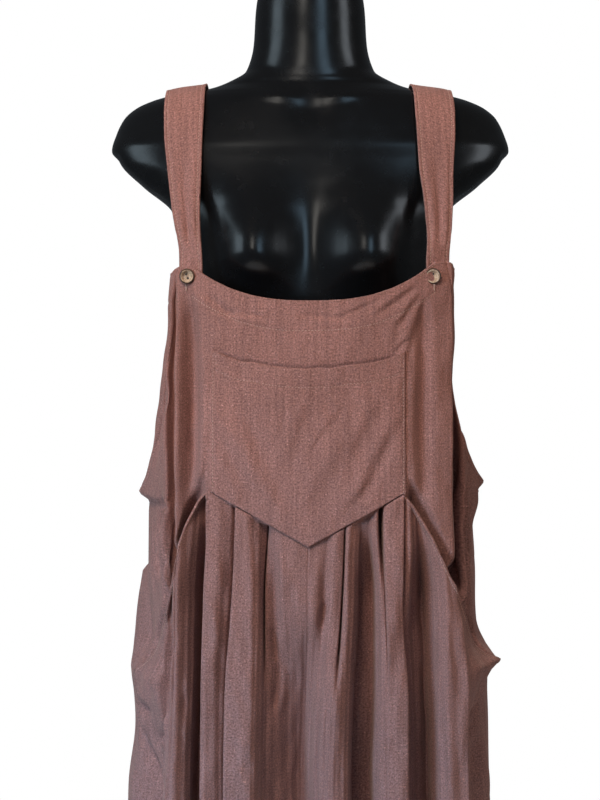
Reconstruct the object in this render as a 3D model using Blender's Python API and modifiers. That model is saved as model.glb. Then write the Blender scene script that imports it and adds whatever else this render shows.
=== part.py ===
"""Loose pleated bib overalls, worn by a limbless dress form on a stand. Metres, +Z up, front towards -Y.

Each cloth panel is a grid laid on a ring of the garment. A ring is read at any height from a short table
of levels, in two halves: x is the distance out from the middle and d the depth in front of it (d = -y).
Along the front half of a ring, place runs from 0 at the middle to 1 at the side seam, and the cloth turns
back at CORNER. The back half runs the same way from the middle of the back. Pleats and troughs are rows
of a table, pressed into the ring along its normal. Left and right are as seen from the front."""

import math
from bisect import bisect_right
from collections import namedtuple

import bmesh
import bpy
from mathutils import Matrix, Vector

# ---------------------------------------------------------------- driving dimensions
CLOTH = 0.0016
SEAM = 0.0008
FIT = 0.0003
LEFT = -1
RIGHT = 1
FRONT = 1
BACK = -1

HEM_Z = 0.100
CROTCH_Z = 0.590
CROTCH_TOP_Z = {FRONT: 0.668, BACK: 0.750}
BACK_WAIST_Z = 0.905
V_POINT_Z = 0.9315
NECK_DIP_Z = 1.1865
NECK_HALF_WIDTH = 0.125
NECK_RISE = {LEFT: 0.036, RIGHT: 0.041}
NECK_POWER = 2.6
BIB_HALF_WIDTH = 0.142
BACK_TOP_Z = 1.235

CORNER = 0.55
CORNER_ROUND = 0.05
LEG_POWER = 2.6
BACK_POWER = 2.7
BACK_TUCK = 0.28
INSEAM_SPLIT = 0.012
INSEAM_RUN = 0.060
CROTCH_CLEAR = 0.0018
HALF_RING = 0.26
EDGE = SEAM / 2 / HALF_RING
NORMAL_STEP = 0.004

FOLD_FLOOR = 0.3
FOLD_MID_HALF = 0.6
FOLD_START = {FRONT: 0.030, BACK: 0.040}

POCKET_LEFT_X = -0.1035
POCKET_RIGHT_X = 0.0975
POCKET_CORNER_Z = 1.1344
POCKET_SAG = 0.0186
POCKET_SAG_POWER = 0.7
POCKET_GAPE = 0.0012
POCKET_COLUMNS = 12
POCKET_ROWS = 8

MOUTH_GAPE = {LEFT: 0.008, RIGHT: 0.012}
MOUTH_TUCK = 0.015
MOUTH_TUCK_START = 0.10
MOUTH_TUCK_START_RUN = 0.16
MOUTH_TUCK_END = 0.89
MOUTH_TUCK_END_RUN = 0.10
MOUTH_FADE = 0.070
MOUTH_CLEAR = 0.0015

STRAP_THICK = 0.0025
STRAP_TILT = 0.175
STRAP_SHOULDER_Z = 1.385
STRAP_SHOULDER_RUN = 0.030
STRAP_FREE = 0.030
STRAP_HEADING_STEP = 0.2

BUTTON_X = {LEFT: 0.1285, RIGHT: 0.1268}
BUTTON_Z = 1.212
BUTTON_RADIUS = 0.009
BUTTON_THICK = 0.003
BUTTON_HOLE_RADIUS = 0.001
BUTTON_HOLE_APART = 0.0040
BUTTON_HOLE_SIDES = 10
BUTTON_STEPS = 28

BUST_X = 0.064
BUST_Z = 1.240
BUST_RISE = 0.032
BUST_SPREAD_X = 0.040
BUST_SPREAD_UP = 0.055
BUST_SPREAD_DOWN = 0.038
BUST_FADE = 1.5
FORM_SEGMENTS = 44
FORM_STEP = 0.036

BASE_RADIUS = 0.175
BASE_THICK = 0.006
BASE_EDGE = 0.002
POLE_RADIUS = 0.0125
POLE_X = 0.085
COLLAR_HEIGHT = 0.045
COLLAR_WALL = 0.008
COLLAR_CHAMFER = 0.003
COLLAR_FLANGE = 0.018
COLLAR_FLANGE_THICK = 0.004
COLLAR_FILLET = 0.002
TURN_STEPS = 32
SOCKET_RADIUS = 0.020
SOCKET_DEPTH = 0.060
FLANGE_RADIUS = 0.034
FLANGE_THICK = 0.005

Finish = namedtuple("Finish", "colour roughness metallic")
LINEN = Finish((0.26, 0.145, 0.125), 0.85, 0.0)
SHADED_LINEN = Finish((0.22, 0.125, 0.115), 0.85, 0.0)
COCONUT = Finish((0.42, 0.30, 0.21), 0.45, 0.0)
GLOSS_BLACK = Finish((0.008, 0.008, 0.010), 0.12, 0.0)
STEEL = Finish((0.45, 0.45, 0.46), 0.3, 1.0)

# ---------------------------------------------------------------- tables, in order of their first column
Level = namedtuple("Level", "z seam_x seam_d fold_x fold_d back_x back_d")
LEVELS = {
    LEFT: (
        Level(0.100, 0.190, 0.000, 0.152, 0.108, 0.200, 0.112),
        Level(0.400, 0.192, 0.004, 0.155, 0.112, 0.203, 0.116),
        Level(0.650, 0.196, 0.018, 0.158, 0.114, 0.203, 0.118),
        Level(0.715, 0.187, 0.022, 0.156, 0.116, 0.201, 0.118),
        Level(0.787, 0.190, 0.035, 0.151, 0.116, 0.198, 0.117),
        Level(0.835, 0.178, 0.025, 0.147, 0.115, 0.192, 0.116),
        Level(0.900, 0.178, 0.010, 0.142, 0.114, 0.184, 0.114),
        Level(0.955, 0.177, 0.002, 0.1415, 0.113, 0.179, 0.110),
        Level(0.977, 0.188, 0.000, 0.1415, 0.112, 0.190, 0.108),
        Level(1.100, 0.188, 0.000, 0.1415, 0.108, 0.190, 0.104),
        Level(1.230, 0.188, 0.000, 0.1405, 0.091, 0.190, 0.098),
    ),
    RIGHT: (
        Level(0.100, 0.190, 0.000, 0.156, 0.108, 0.200, 0.112),
        Level(0.400, 0.192, 0.004, 0.160, 0.112, 0.203, 0.116),
        Level(0.650, 0.194, 0.018, 0.165, 0.114, 0.202, 0.118),
        Level(0.755, 0.189, 0.030, 0.163, 0.116, 0.197, 0.118),
        Level(0.801, 0.2026, 0.045, 0.161, 0.116, 0.204, 0.117),
        Level(0.835, 0.183, 0.030, 0.158, 0.115, 0.187, 0.116),
        Level(0.900, 0.178, 0.010, 0.149, 0.114, 0.181, 0.114),
        Level(0.965, 0.178, 0.002, 0.148, 0.113, 0.180, 0.110),
        Level(0.989, 0.191, 0.000, 0.148, 0.112, 0.193, 0.108),
        Level(1.100, 0.191, 0.000, 0.148, 0.108, 0.193, 0.104),
        Level(1.230, 0.191, 0.000, 0.148, 0.091, 0.193, 0.098),
    ),
}
Middle = namedtuple("Middle", "z front_d lean_x")
MIDDLE = (
    Middle(0.100, 0.116, 0.000),
    Middle(0.560, 0.118, 0.000),
    Middle(0.680, 0.122, -0.009),
    Middle(0.800, 0.129, -0.006),
    Middle(0.930, 0.130, -0.003),
    Middle(1.050, 0.124, 0.000),
    Middle(1.230, 0.117, 0.000),
)

# Armhole edges: how far past the corner a front reaches, or along its ring a back, 1 at the side seam.
Armhole = namedtuple("Armhole", "z reach")
FRONT_ARMHOLE = {
    LEFT: (Armhole(0.977, 1.00), Armhole(0.996, 0.86), Armhole(1.030, 0.66), Armhole(1.094, 0.44),
           Armhole(1.156, 0.27), Armhole(1.230, 0.17)),
    RIGHT: (Armhole(0.989, 1.00), Armhole(1.000, 0.80), Armhole(1.018, 0.58), Armhole(1.045, 0.32),
            Armhole(1.074, 0.15), Armhole(1.110, 0.08), Armhole(1.230, 0.07)),
}
BACK_ARMHOLE = (Armhole(0.984, 1.00), Armhole(1.000, 0.82), Armhole(1.022, 0.67), Armhole(1.047, 0.58),
                Armhole(1.075, 0.53), Armhole(1.110, 0.50), Armhole(1.240, 0.45))

# Pocket mouths: the curved edge of each front leg, from the end of the V seam out to the side seam.
Mouth = namedtuple("Mouth", "place z")
MOUTH = {
    LEFT: (Mouth(0.411, 0.989), Mouth(0.445, 0.982), Mouth(0.479, 0.967), Mouth(0.520, 0.944),
           Mouth(0.560, 0.902), Mouth(0.708, 0.854), Mouth(0.834, 0.826), Mouth(1.000, 0.787)),
    RIGHT: (Mouth(0.355, 0.986), Mouth(0.394, 0.974), Mouth(0.425, 0.961), Mouth(0.469, 0.940),
            Mouth(0.540, 0.898), Mouth(0.650, 0.861), Mouth(0.800, 0.831), Mouth(1.000, 0.801)),
}

# Places of the bib's columns over its face, and of the columns over a side, shared by the panels there.
BIB_PLACES = {
    LEFT: (0, 0.10, 0.20, 0.30, 0.36, 0.411, 0.445, 0.473, 0.498, 0.52),
    RIGHT: (0, 0.10, 0.20, 0.29, 0.355, 0.388, 0.413, 0.433, 0.458, 0.49, 0.52),
}
SIDE_PLACES = (CORNER, 0.58, 0.61, 0.67, 0.77, 0.87, 0.945, 1.0)

# How far out along the back each column lies, and the ones between a back leg's last fold and its side.
BACK_PARTS = (0, 0.14, 0.28, 0.42, 0.56, 0.70, 0.84, 0.92, 1.0)
BACK_LEG_FIRST_PLACES = (0.0, 0.10)
BACK_LEG_SIDE_PARTS = (0.3, 0.55, 0.8, 1.0)

# Heights of the rows along a side seam, shared by all the panels that meet there: down the armhole, then
# from its foot to the back waist seam, then to the outer end of the pocket mouth, then down the leg.
ARMHOLE_ROWS = (1.000, 0.830, 0.665, 0.510, 0.360, 0.230, 0.120, 0.045)
WAIST_ROWS = (1.000, 0.660, 0.330)
MOUTH_ROWS = (1.000, 0.780, 0.590, 0.420, 0.270, 0.130)
LEG_ROWS = (1.000, 0.975, 0.940, 0.900, 0.855, 0.805, 0.755, 0.705, 0.645, 0.560, 0.440, 0.310, 0.160,
            0.000)

# Folds at four heights: distance out and depth, with half widths low and high. Lean is where the bottom
# lies between the brinks, from -1 at the inner one to 1 at the outer one.
Fold = namedtuple("Fold", "hem_x low_x mid_x top_x low_half top_half lean"
                          " hem_deep low_deep mid_deep top_deep")
FoldAt = namedtuple("FoldAt", "z x half deep")
FRONT_LEG_HEIGHTS = (HEM_Z, 0.670, 0.870, 0.980)
FRONT_LEG_FOLDS = {
    LEFT: (
        Fold(0.036, 0.030, 0.028, 0.027, 0.018, 0.008, 0.0, 0.016, 0.018, 0.005, 0.000),
        Fold(0.064, 0.061, 0.0505, 0.0445, 0.008, 0.006, 0.0, 0.014, 0.009, 0.021, 0.013),
        Fold(0.086, 0.0915, 0.082, 0.078, 0.009, 0.006, 0.2, 0.010, 0.008, 0.018, 0.011),
        Fold(0.117, 0.118, 0.1165, 0.1165, 0.009, 0.007, -0.2, 0.022, 0.030, 0.027, 0.012),
    ),
    RIGHT: (
        Fold(0.026, 0.028, 0.0305, 0.0335, 0.006, 0.005, 0.0, 0.010, 0.006, 0.014, 0.010),
        Fold(0.052, 0.051, 0.0565, 0.053, 0.010, 0.007, 0.1, 0.020, 0.028, 0.020, 0.006),
        Fold(0.080, 0.077, 0.0755, 0.0715, 0.006, 0.005, 0.0, 0.006, 0.004, 0.010, 0.016),
        Fold(0.112, 0.114, 0.116, 0.1066, 0.013, 0.010, 0.3, 0.020, 0.024, 0.018, 0.008),
    ),
}
BACK_LEG_HEIGHTS = (HEM_Z, 0.600, 0.820, BACK_WAIST_Z)
BACK_LEG_FOLDS = (
    Fold(0.040, 0.038, 0.036, 0.036, 0.012, 0.009, 0.0, 0.012, 0.012, 0.010, 0.006),
    Fold(0.072, 0.072, 0.070, 0.068, 0.013, 0.009, 0.2, 0.018, 0.018, 0.012, 0.006),
    Fold(0.118, 0.118, 0.112, 0.106, 0.014, 0.010, -0.2, 0.018, 0.020, 0.012, 0.005),
)
BIB_HEIGHTS = (0.930, 1.040, 1.140, 1.195)
BIB_FOLDS = {
    LEFT: (Fold(0.130, 0.1305, 0.1305, 0.130, 0.009, 0.009, 0.0, 0.000, 0.006, 0.006, 0.000),),
    RIGHT: (Fold(0.114, 0.114, 0.114, 0.115, 0.009, 0.009, 0.0, 0.000, 0.005, 0.006, 0.000),),
}

# The side of each front leg falls in between its front fold and the side seam, below the pocket mouth.
Hollow = namedtuple("Hollow", "z deep")
SIDE_HOLLOW = (Hollow(HEM_Z, 0.012), Hollow(0.400, 0.024), Hollow(0.650, 0.028), Hollow(0.730, 0.014),
               Hollow(0.785, 0.000))
SIDE_HOLLOW_PLACE = 0.76
SIDE_HOLLOW_HALF = 0.19

# Straps: the middle line from behind the bib, over the shoulder and down behind the back.
Strap = namedtuple("Strap", "row left_x right_x y z width turn crease")
STRAPS = (
    Strap(0, 0.1265, 0.1335, -0.0960, 1.188, 0.024, 14, 0.0000),
    Strap(1, 0.1270, 0.1345, -0.0930, 1.225, 0.025, 16, 0.0006),
    Strap(2, 0.1290, 0.1358, -0.0890, 1.255, 0.026, 20, 0.0020),
    Strap(3, 0.1325, 0.1355, -0.0825, 1.290, 0.031, 20, 0.0016),
    Strap(4, 0.1342, 0.1335, -0.0760, 1.330, 0.037, 16, 0.0008),
    Strap(5, 0.1355, 0.1335, -0.0700, 1.365, 0.041, 10, 0.0000),
    Strap(6, 0.1355, 0.1330, -0.0570, 1.3963, 0.043, 4, 0.0000),
    Strap(7, 0.1355, 0.1325, -0.0400, 1.4123, 0.043, 0, 0.0000),
    Strap(8, 0.1355, 0.1320, -0.0180, 1.4210, 0.043, 0, 0.0000),
    Strap(9, 0.1350, 0.1315, 0.0060, 1.4232, 0.043, 0, 0.0000),
    Strap(10, 0.1350, 0.1315, 0.0300, 1.4212, 0.043, 0, 0.0000),
    Strap(11, 0.1345, 0.1315, 0.0520, 1.4123, 0.043, 0, 0.0000),
    Strap(12, 0.1335, 0.1310, 0.0690, 1.3963, 0.043, -4, 0.0000),
    Strap(13, 0.1320, 0.1300, 0.0810, 1.365, 0.043, -8, 0.0000),
    Strap(14, 0.1290, 0.1280, 0.0850, 1.320, 0.043, -8, 0.0000),
    Strap(15, 0.1255, 0.1255, 0.0860, 1.270, 0.043, -8, 0.0000),
    Strap(16, 0.1230, 0.1230, 0.0850, 1.235, 0.043, -8, 0.0000),
    Strap(17, 0.1220, 0.1220, 0.0840, 1.208, 0.043, -8, 0.0000),
)
STRAP_ACROSS = (-1.0, -0.5, 0.0, 0.5, 1.0)
STRAP_CREASE = (0.0, -1.0, 1.0, -1.0, 0.0)

# Outline of a button from its middle over its rim and back under: parts of its radius and its thickness.
BUTTON_OUTLINE = ((0, 0.7), (0.62, 0.7), (0.75, 0.95), (0.86, 1), (0.96, 0.8), (1, 0.5), (0.94, 0.1),
                  (0.8, 0), (0, 0))

# Dress form rings, from its flat underside to the flat top of its neck.
Ring = namedtuple("Ring", "z half_width half_depth centre_y power")
FORM_RINGS = (
    Ring(0.7650, 0.1470, 0.0860, 0.008, 2.3),
    Ring(0.8100, 0.1550, 0.0920, 0.008, 2.3),
    Ring(0.8600, 0.1530, 0.0930, 0.008, 2.3),
    Ring(0.9200, 0.1420, 0.0880, 0.006, 2.3),
    Ring(0.9800, 0.1290, 0.0810, 0.002, 2.3),
    Ring(1.0400, 0.1220, 0.0770, 0.000, 2.3),
    Ring(1.1100, 0.1280, 0.0780, 0.000, 2.3),
    Ring(1.1900, 0.1400, 0.0830, 0.000, 2.3),
    Ring(1.2600, 0.1470, 0.0860, 0.001, 2.4),
    Ring(1.2855, 0.1550, 0.0865, 0.002, 2.5),
    Ring(1.3137, 0.1881, 0.0850, 0.004, 2.5),
    Ring(1.3385, 0.2135, 0.0825, 0.005, 2.5),
    Ring(1.3535, 0.2193, 0.0810, 0.006, 2.5),
    Ring(1.3715, 0.2145, 0.0780, 0.006, 2.3),
    Ring(1.3890, 0.2060, 0.0745, 0.006, 2.1),
    Ring(1.4000, 0.1940, 0.0720, 0.006, 2.0),
    Ring(1.4090, 0.1750, 0.0690, 0.006, 1.9),
    Ring(1.4147, 0.1540, 0.0670, 0.006, 1.8),
    Ring(1.4185, 0.1300, 0.0660, 0.006, 1.8),
    Ring(1.4225, 0.1110, 0.0650, 0.006, 1.8),
    Ring(1.4290, 0.0920, 0.0640, 0.006, 2.0),
    Ring(1.4415, 0.0710, 0.0625, 0.004, 2.1),
    Ring(1.4700, 0.0625, 0.0600, -0.001, 2.1),
    Ring(1.5050, 0.0600, 0.0580, -0.008, 2.1),
    Ring(1.5320, 0.0560, 0.0560, -0.012, 2.1),
)


# ---------------------------------------------------------------- reading the tables
def read(rows, key):
    """The row at key, on a smooth curve through the table's rows that never overshoots them."""
    keys = [row[0] for row in rows]
    if key <= keys[0]:
        return rows[0]
    if key >= keys[-1]:
        return rows[-1]
    at = bisect_right(keys, key) - 1
    span = keys[at + 1] - keys[at]
    part = (key - keys[at]) / span
    values = [key]
    for column in range(1, len(rows[0])):
        low = rows[at][column]
        rise = rows[at + 1][column] - low
        start = slope(rows, at, column) * span
        end = slope(rows, at + 1, column) * span
        bend = part * (1 - part) * ((start - rise) * (1 - part) + (rise - end) * part)
        values.append(low + rise * part + bend)
    return type(rows[0])(*values)


def slope(rows, at, column):
    """The curve's slope at a row: the harmonic mean of its two sides, and level at a peak."""
    if at == 0:
        return chord(rows, 0, column)
    if at == len(rows) - 1:
        return chord(rows, at - 1, column)
    before = chord(rows, at - 1, column)
    after = chord(rows, at, column)
    if before * after <= 0:
        return 0.0
    return 2 * before * after / (before + after)


def chord(rows, at, column):
    return (rows[at + 1][column] - rows[at][column]) / (rows[at + 1][0] - rows[at][0])


def mix(low, high, part):
    return low + (high - low) * part


def smooth(part):
    part = min(max(part, 0.0), 1.0)
    return part * part * (3 - 2 * part)


def ramp(value, rounding):
    """Nought below 0 and value above it, with a round turn between."""
    return 0.5 * (value + math.sqrt(value * value + rounding * rounding))


def squared_circle(angle, power):
    """A point on a circle of radius 1 that is squarer the higher its power."""
    across = math.cos(angle)
    out = math.sin(angle)
    radius = (abs(across) ** power + abs(out) ** power) ** (-1 / power)
    return across * radius, out * radius


# ---------------------------------------------------------------- rings of the garment
def front_ring(side, place, z):
    """The front of the body: a nearly flat face, then a side that turns back to the side seam."""
    level = read(LEVELS[side], z)
    front_d = read(MIDDLE, z).front_d
    start = ramp(-CORNER, CORNER_ROUND)
    past = ramp(place - CORNER, CORNER_ROUND) - start
    whole_past = ramp(1 - CORNER, CORNER_ROUND) - start
    face = (place - past) / (1 - whole_past)
    turned = past / whole_past
    x = level.fold_x * face + (level.seam_x - level.fold_x) * turned
    d = mix(front_d, level.fold_d, face * face) + (level.seam_d - level.fold_d) * turned
    return x, d


def back_ring(side, place, z):
    """The back of the body, which swells out behind the side seam."""
    level = read(LEVELS[side], z)
    angle = (1 - place) * math.pi / 2
    across, out = squared_circle(angle, BACK_POWER)
    tuck = math.exp(-((angle / BACK_TUCK) ** 2))
    x = (level.back_x - (level.back_x - level.seam_x) * tuck) * across
    d = mix(level.seam_d, -level.back_d, out)
    return x, d


def leg_ring(side, place, z, facing):
    """Half a leg tube, from the inseam (0) to the side seam (1)."""
    level = read(LEVELS[side], z)
    angle = (1 - place) * math.pi
    across, out = squared_circle(angle, LEG_POWER)
    closed_x = SEAM / 2 + CROTCH_CLEAR * crotch(z, facing)
    inseam_x = mix(closed_x, INSEAM_SPLIT, smooth((CROTCH_Z - z) / INSEAM_RUN))
    x = mix(inseam_x, level.seam_x, (1 + across) / 2)
    side_d = level.seam_d * (1 + across) / 2
    if facing == FRONT:
        return x, mix(side_d, read(MIDDLE, z).front_d, out)
    swell = (level.back_x - level.seam_x) * max(0.0, math.sin(2 * angle))
    return x + swell * smooth(across * 2), mix(side_d, -level.back_d, out)


def crotch(z, facing):
    """Nought above the crotch curve, and 1 from the crotch down, where each leg is a tube."""
    return smooth((CROTCH_TOP_Z[facing] - z) / (CROTCH_TOP_Z[facing] - CROTCH_Z))


def ring(side, place, z, facing):
    body = front_ring(side, place, z) if facing == FRONT else back_ring(side, place, z)
    leg = leg_ring(side, place, z, facing)
    part = crotch(z, facing)
    return mix(body[0], leg[0], part), mix(body[1], leg[1], part)


def place_at(side, x, z, facing):
    """The place on a ring at a distance x from the middle, found by halving."""
    low = 0.0
    high = 1.0
    for _ in range(24):
        half = (low + high) / 2
        if ring(side, half, z, facing)[0] < x:
            low = half
        else:
            high = half
    return (low + high) / 2


def pressed(side, place, z, facing, inward):
    """A point of the garment in space, pressed in along the ring's normal."""
    x, d = ring(side, place, z, facing)
    ahead = ring(side, min(place + NORMAL_STEP, 1), z, facing)
    behind = ring(side, max(place - NORMAL_STEP, 0), z, facing)
    run_x = ahead[0] - behind[0]
    run_d = ahead[1] - behind[1]
    push = inward * facing / math.hypot(run_x, run_d)
    x += push * run_d
    d -= push * run_x
    lean = read(MIDDLE, z).lean_x * max(0.0, 1 - x / BIB_HALF_WIDTH) ** 2
    return Vector((side * x + lean, -d, z))


# ---------------------------------------------------------------- folds
def fold_at(fold, heights, z):
    """A fold's middle, half width and depth at a height."""
    mid_half = mix(fold.low_half, fold.top_half, FOLD_MID_HALF)
    rows = (
        FoldAt(heights[0], fold.hem_x, fold.low_half, fold.hem_deep),
        FoldAt(heights[1], fold.low_x, fold.low_half, fold.low_deep),
        FoldAt(heights[2], fold.mid_x, mid_half, fold.mid_deep),
        FoldAt(heights[3], fold.top_x, fold.top_half, fold.top_deep),
    )
    return read(rows, z)


def fold_depth(fold, heights, x, z):
    """How deep a fold presses the cloth in at a distance x out."""
    now = fold_at(fold, heights, z)
    across = (x - now.x) / now.half
    if abs(across) >= 1:
        return 0.0
    reach = 1 + fold.lean if across < fold.lean else 1 - fold.lean
    return now.deep * 0.5 * (1 + math.cos(math.pi * (across - fold.lean) / reach))


def on_bib(side, x, z, proud):
    """A point of the bib's front with its troughs, moved out by proud."""
    inward = sum(fold_depth(fold, BIB_HEIGHTS, x, z) for fold in BIB_FOLDS[side])
    return pressed(side, place_at(side, x, z, FRONT), z, FRONT, inward - proud)


def fold_columns(fold, heights, z):
    """Where a grid needs columns to show a fold: its two brinks and the two sides of its floor."""
    now = fold_at(fold, heights, z)
    across = (-1, fold.lean - FOLD_FLOOR * (1 + fold.lean), fold.lean + FOLD_FLOOR * (1 - fold.lean), 1)
    return [now.x + now.half * part for part in across]


# ---------------------------------------------------------------- edges of the panels
def leg_top(side, place):
    """Top edge of a front leg: its half of the V seam, then the pocket mouth."""
    end = MOUTH[side][0]
    if place <= end.place:
        return mix(V_POINT_Z, end.z, place / end.place)
    return read(MOUTH[side], place).z


def along_mouth(side, place):
    start = MOUTH[side][0].place
    return min(max((place - start) / (1 - start), 0.0), 1.0)


def mouth_gape(side, place, z):
    """How far the pocket mouth stands off the cloth behind it, fading down the leg."""
    fade = math.exp(-max(leg_top(side, place) - z, 0.0) / MOUTH_FADE)
    return MOUTH_GAPE[side] * max(math.sin(math.pi * along_mouth(side, place)), 0.0) * fade


def bib_bottom(side, place):
    """Lower edge of the bib: the V seam, then tucked in behind the pocket mouth."""
    part = along_mouth(side, place)
    if part == 0:
        return leg_top(side, place) + SEAM / 2
    tucked = smooth((part - MOUTH_TUCK_START) / MOUTH_TUCK_START_RUN)
    tucked *= smooth((MOUTH_TUCK_END - part) / MOUTH_TUCK_END_RUN)
    return leg_top(side, place) + MOUTH_CLEAR - (MOUTH_TUCK + MOUTH_CLEAR) * tucked


def rows_between(rows, top, bottom):
    """Heights of rows that are given as parts of the way up from bottom to top."""
    return [mix(bottom, top, part) for part in rows]


def neckline(side, x):
    return NECK_DIP_Z + NECK_RISE[side] * min(x / NECK_HALF_WIDTH, 1.0) ** NECK_POWER


# ---------------------------------------------------------------- making a piece
def add(name, mesh, finish):
    piece = bpy.data.objects.new(name, mesh)
    parts.objects.link(piece)
    piece.parent = root
    material = bpy.data.materials.new(name)
    material.use_nodes = True
    shader = material.node_tree.nodes["Principled BSDF"]
    shader.inputs["Base Color"].default_value = (*finish.colour, 1)
    shader.inputs["Roughness"].default_value = finish.roughness
    shader.inputs["Metallic"].default_value = finish.metallic
    mesh.materials.append(material)
    return piece


def panel(name, columns, rows, point, finish, thick=CLOTH):
    """A cloth panel: a grid whose points are moved on to the garment, then given a wall."""
    bm = bmesh.new()
    bmesh.ops.create_grid(bm, x_segments=columns, y_segments=rows, size=0.5)
    for vertex in bm.verts:
        column = round((vertex.co.x + 0.5) * columns)
        row = round((0.5 - vertex.co.y) * rows)
        vertex.co = point(column, row)
    mesh = bpy.data.meshes.new(name)
    bm.to_mesh(mesh)
    bm.free()
    piece = add(name, mesh, finish)
    wall = piece.modifiers.new("wall", "SOLIDIFY")
    wall.thickness = thick
    wall.offset = 0
    return piece


def turned(name, outline, finish, closed=False, steps=TURN_STEPS):
    """A turned piece, from an outline of (radius, z) that runs down its outer side."""
    edges = [(at, at + 1) for at in range(len(outline) - 1)]
    if closed:
        edges.append((len(outline) - 1, 0))
    mesh = bpy.data.meshes.new(name)
    mesh.from_pydata([(radius, 0, z) for radius, z in outline], edges, [])
    piece = add(name, mesh, finish)
    turn = piece.modifiers.new("turn", "SCREW")
    turn.steps = steps
    turn.render_steps = steps
    turn.use_merge_vertices = True
    turn.merge_threshold = 0.00001
    return piece


# ---------------------------------------------------------------- cloth
def build_bib_front():
    columns = [(LEFT, place) for place in reversed(BIB_PLACES[LEFT][1:] + SIDE_PLACES)]
    columns += [(RIGHT, place) for place in BIB_PLACES[RIGHT] + SIDE_PLACES]
    downs = {side: bib_downs(side) for side in (LEFT, RIGHT)}

    def point(column, row):
        side, place = columns[column]
        top = neckline(side, BIB_HALF_WIDTH * min(place, CORNER) / CORNER)
        z = mix(top, bib_bottom(side, place), downs[side][row])
        if place > CORNER:
            reach = read(FRONT_ARMHOLE[side], z).reach * (1 - CORNER) - EDGE
            place = CORNER + reach * (place - CORNER) / (1 - CORNER)
        return on_bib(side, ring(side, place, z, FRONT)[0], z, 0.0)

    panel("bib_front", len(columns) - 1, len(downs[LEFT]) - 1, point, LINEN)


def bib_downs(side):
    """How far down the bib each row lies, so that its side meets the rows of the side seam."""
    armhole_z = FRONT_ARMHOLE[side][0].z
    ear_z = MOUTH[side][-1].z
    top = neckline(side, BIB_HALF_WIDTH)
    heights = rows_between(ARMHOLE_ROWS, top, armhole_z)
    heights += rows_between(WAIST_ROWS, armhole_z, BACK_WAIST_Z)
    heights += rows_between(MOUTH_ROWS, BACK_WAIST_Z, ear_z)
    heights.append(ear_z + MOUTH_CLEAR)
    return [(top - z) / (top - heights[-1]) for z in heights]


def build_bib_pocket():
    def point(column, row):
        across = column / POCKET_COLUMNS
        x = mix(POCKET_LEFT_X, POCKET_RIGHT_X, across)
        side = LEFT if x < 0 else RIGHT
        top = POCKET_CORNER_Z - POCKET_SAG * math.sin(math.pi * across) ** POCKET_SAG_POWER
        foot = leg_top(side, place_at(side, abs(x), V_POINT_Z, FRONT)) + 2 * SEAM
        down = row / POCKET_ROWS
        gape = POCKET_GAPE * math.sin(math.pi * across) * (1 - down) ** 2
        return on_bib(side, abs(x), mix(top, foot, down), CLOTH + SEAM / 2 + gape)

    panel("bib_pocket", POCKET_COLUMNS, POCKET_ROWS, point, LINEN)


def build_leg_front(side, name):
    folds = FRONT_LEG_FOLDS[side]
    downs = [1 - part for part in LEG_ROWS]
    columns = 4 * len(folds) + 2 + len(SIDE_PLACES)

    def places_at(z):
        """Places of the columns at a height: at the folds, and at the ends of the V seam."""
        places = []
        for fold in folds:
            places += [place_at(side, x, z, FRONT) for x in fold_columns(fold, FRONT_LEG_HEIGHTS, z)]
        places.append((places[-1] + CORNER) / 2)
        places.append(MOUTH[side][0].place)
        places += SIDE_PLACES
        return [max(EDGE, min(place, 1 - EDGE)) for place in [0.0] + sorted(places)]

    def point(column, row):
        column = columns - column if side == LEFT else column
        z = V_POINT_Z
        for _ in range(6):
            place = places_at(z)[column]
            top = leg_top(side, place)
            z = mix(top - SEAM / 2, HEM_Z, downs[row])
        x = ring(side, place, z, FRONT)[0]
        inward = 0.0
        if place < CORNER:
            inward = sum(fold_depth(fold, FRONT_LEG_HEIGHTS, x, z) for fold in folds)
        inward *= smooth((top - z) / FOLD_START[FRONT])
        across = (place - SIDE_HOLLOW_PLACE) / SIDE_HOLLOW_HALF
        if abs(across) < 1:
            inward += read(SIDE_HOLLOW, z).deep * 0.5 * (1 + math.cos(math.pi * across))
        return pressed(side, place, z, FRONT, inward - mouth_gape(side, place, z))

    panel(name, columns, len(downs) - 1, point, LINEN)


def build_leg_back(side, name):
    columns = len(BACK_LEG_FIRST_PLACES) + 4 * len(BACK_LEG_FOLDS) + len(BACK_LEG_SIDE_PARTS) - 1
    ear_z = MOUTH[side][-1].z
    heights = [BACK_WAIST_Z - SEAM / 2]
    heights += rows_between(MOUTH_ROWS, BACK_WAIST_Z, ear_z)[1:]
    heights += rows_between(LEG_ROWS, ear_z, HEM_Z)

    def point(column, row):
        z = heights[row]
        places = list(BACK_LEG_FIRST_PLACES)
        for fold in BACK_LEG_FOLDS:
            places += [place_at(side, x, z, BACK) for x in fold_columns(fold, BACK_LEG_HEIGHTS, z)]
        places += [mix(places[-1], 1.0, part) for part in BACK_LEG_SIDE_PARTS]
        place = sorted(places)[columns - column if side == RIGHT else column]
        place = max(EDGE, min(place, 1 - EDGE))
        x = ring(side, place, z, BACK)[0]
        inward = sum(fold_depth(fold, BACK_LEG_HEIGHTS, x, z) for fold in BACK_LEG_FOLDS)
        return pressed(side, place, z, BACK, inward * smooth((BACK_WAIST_Z - z) / FOLD_START[BACK]))

    panel(name, columns, len(heights) - 1, point, SHADED_LINEN)


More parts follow.
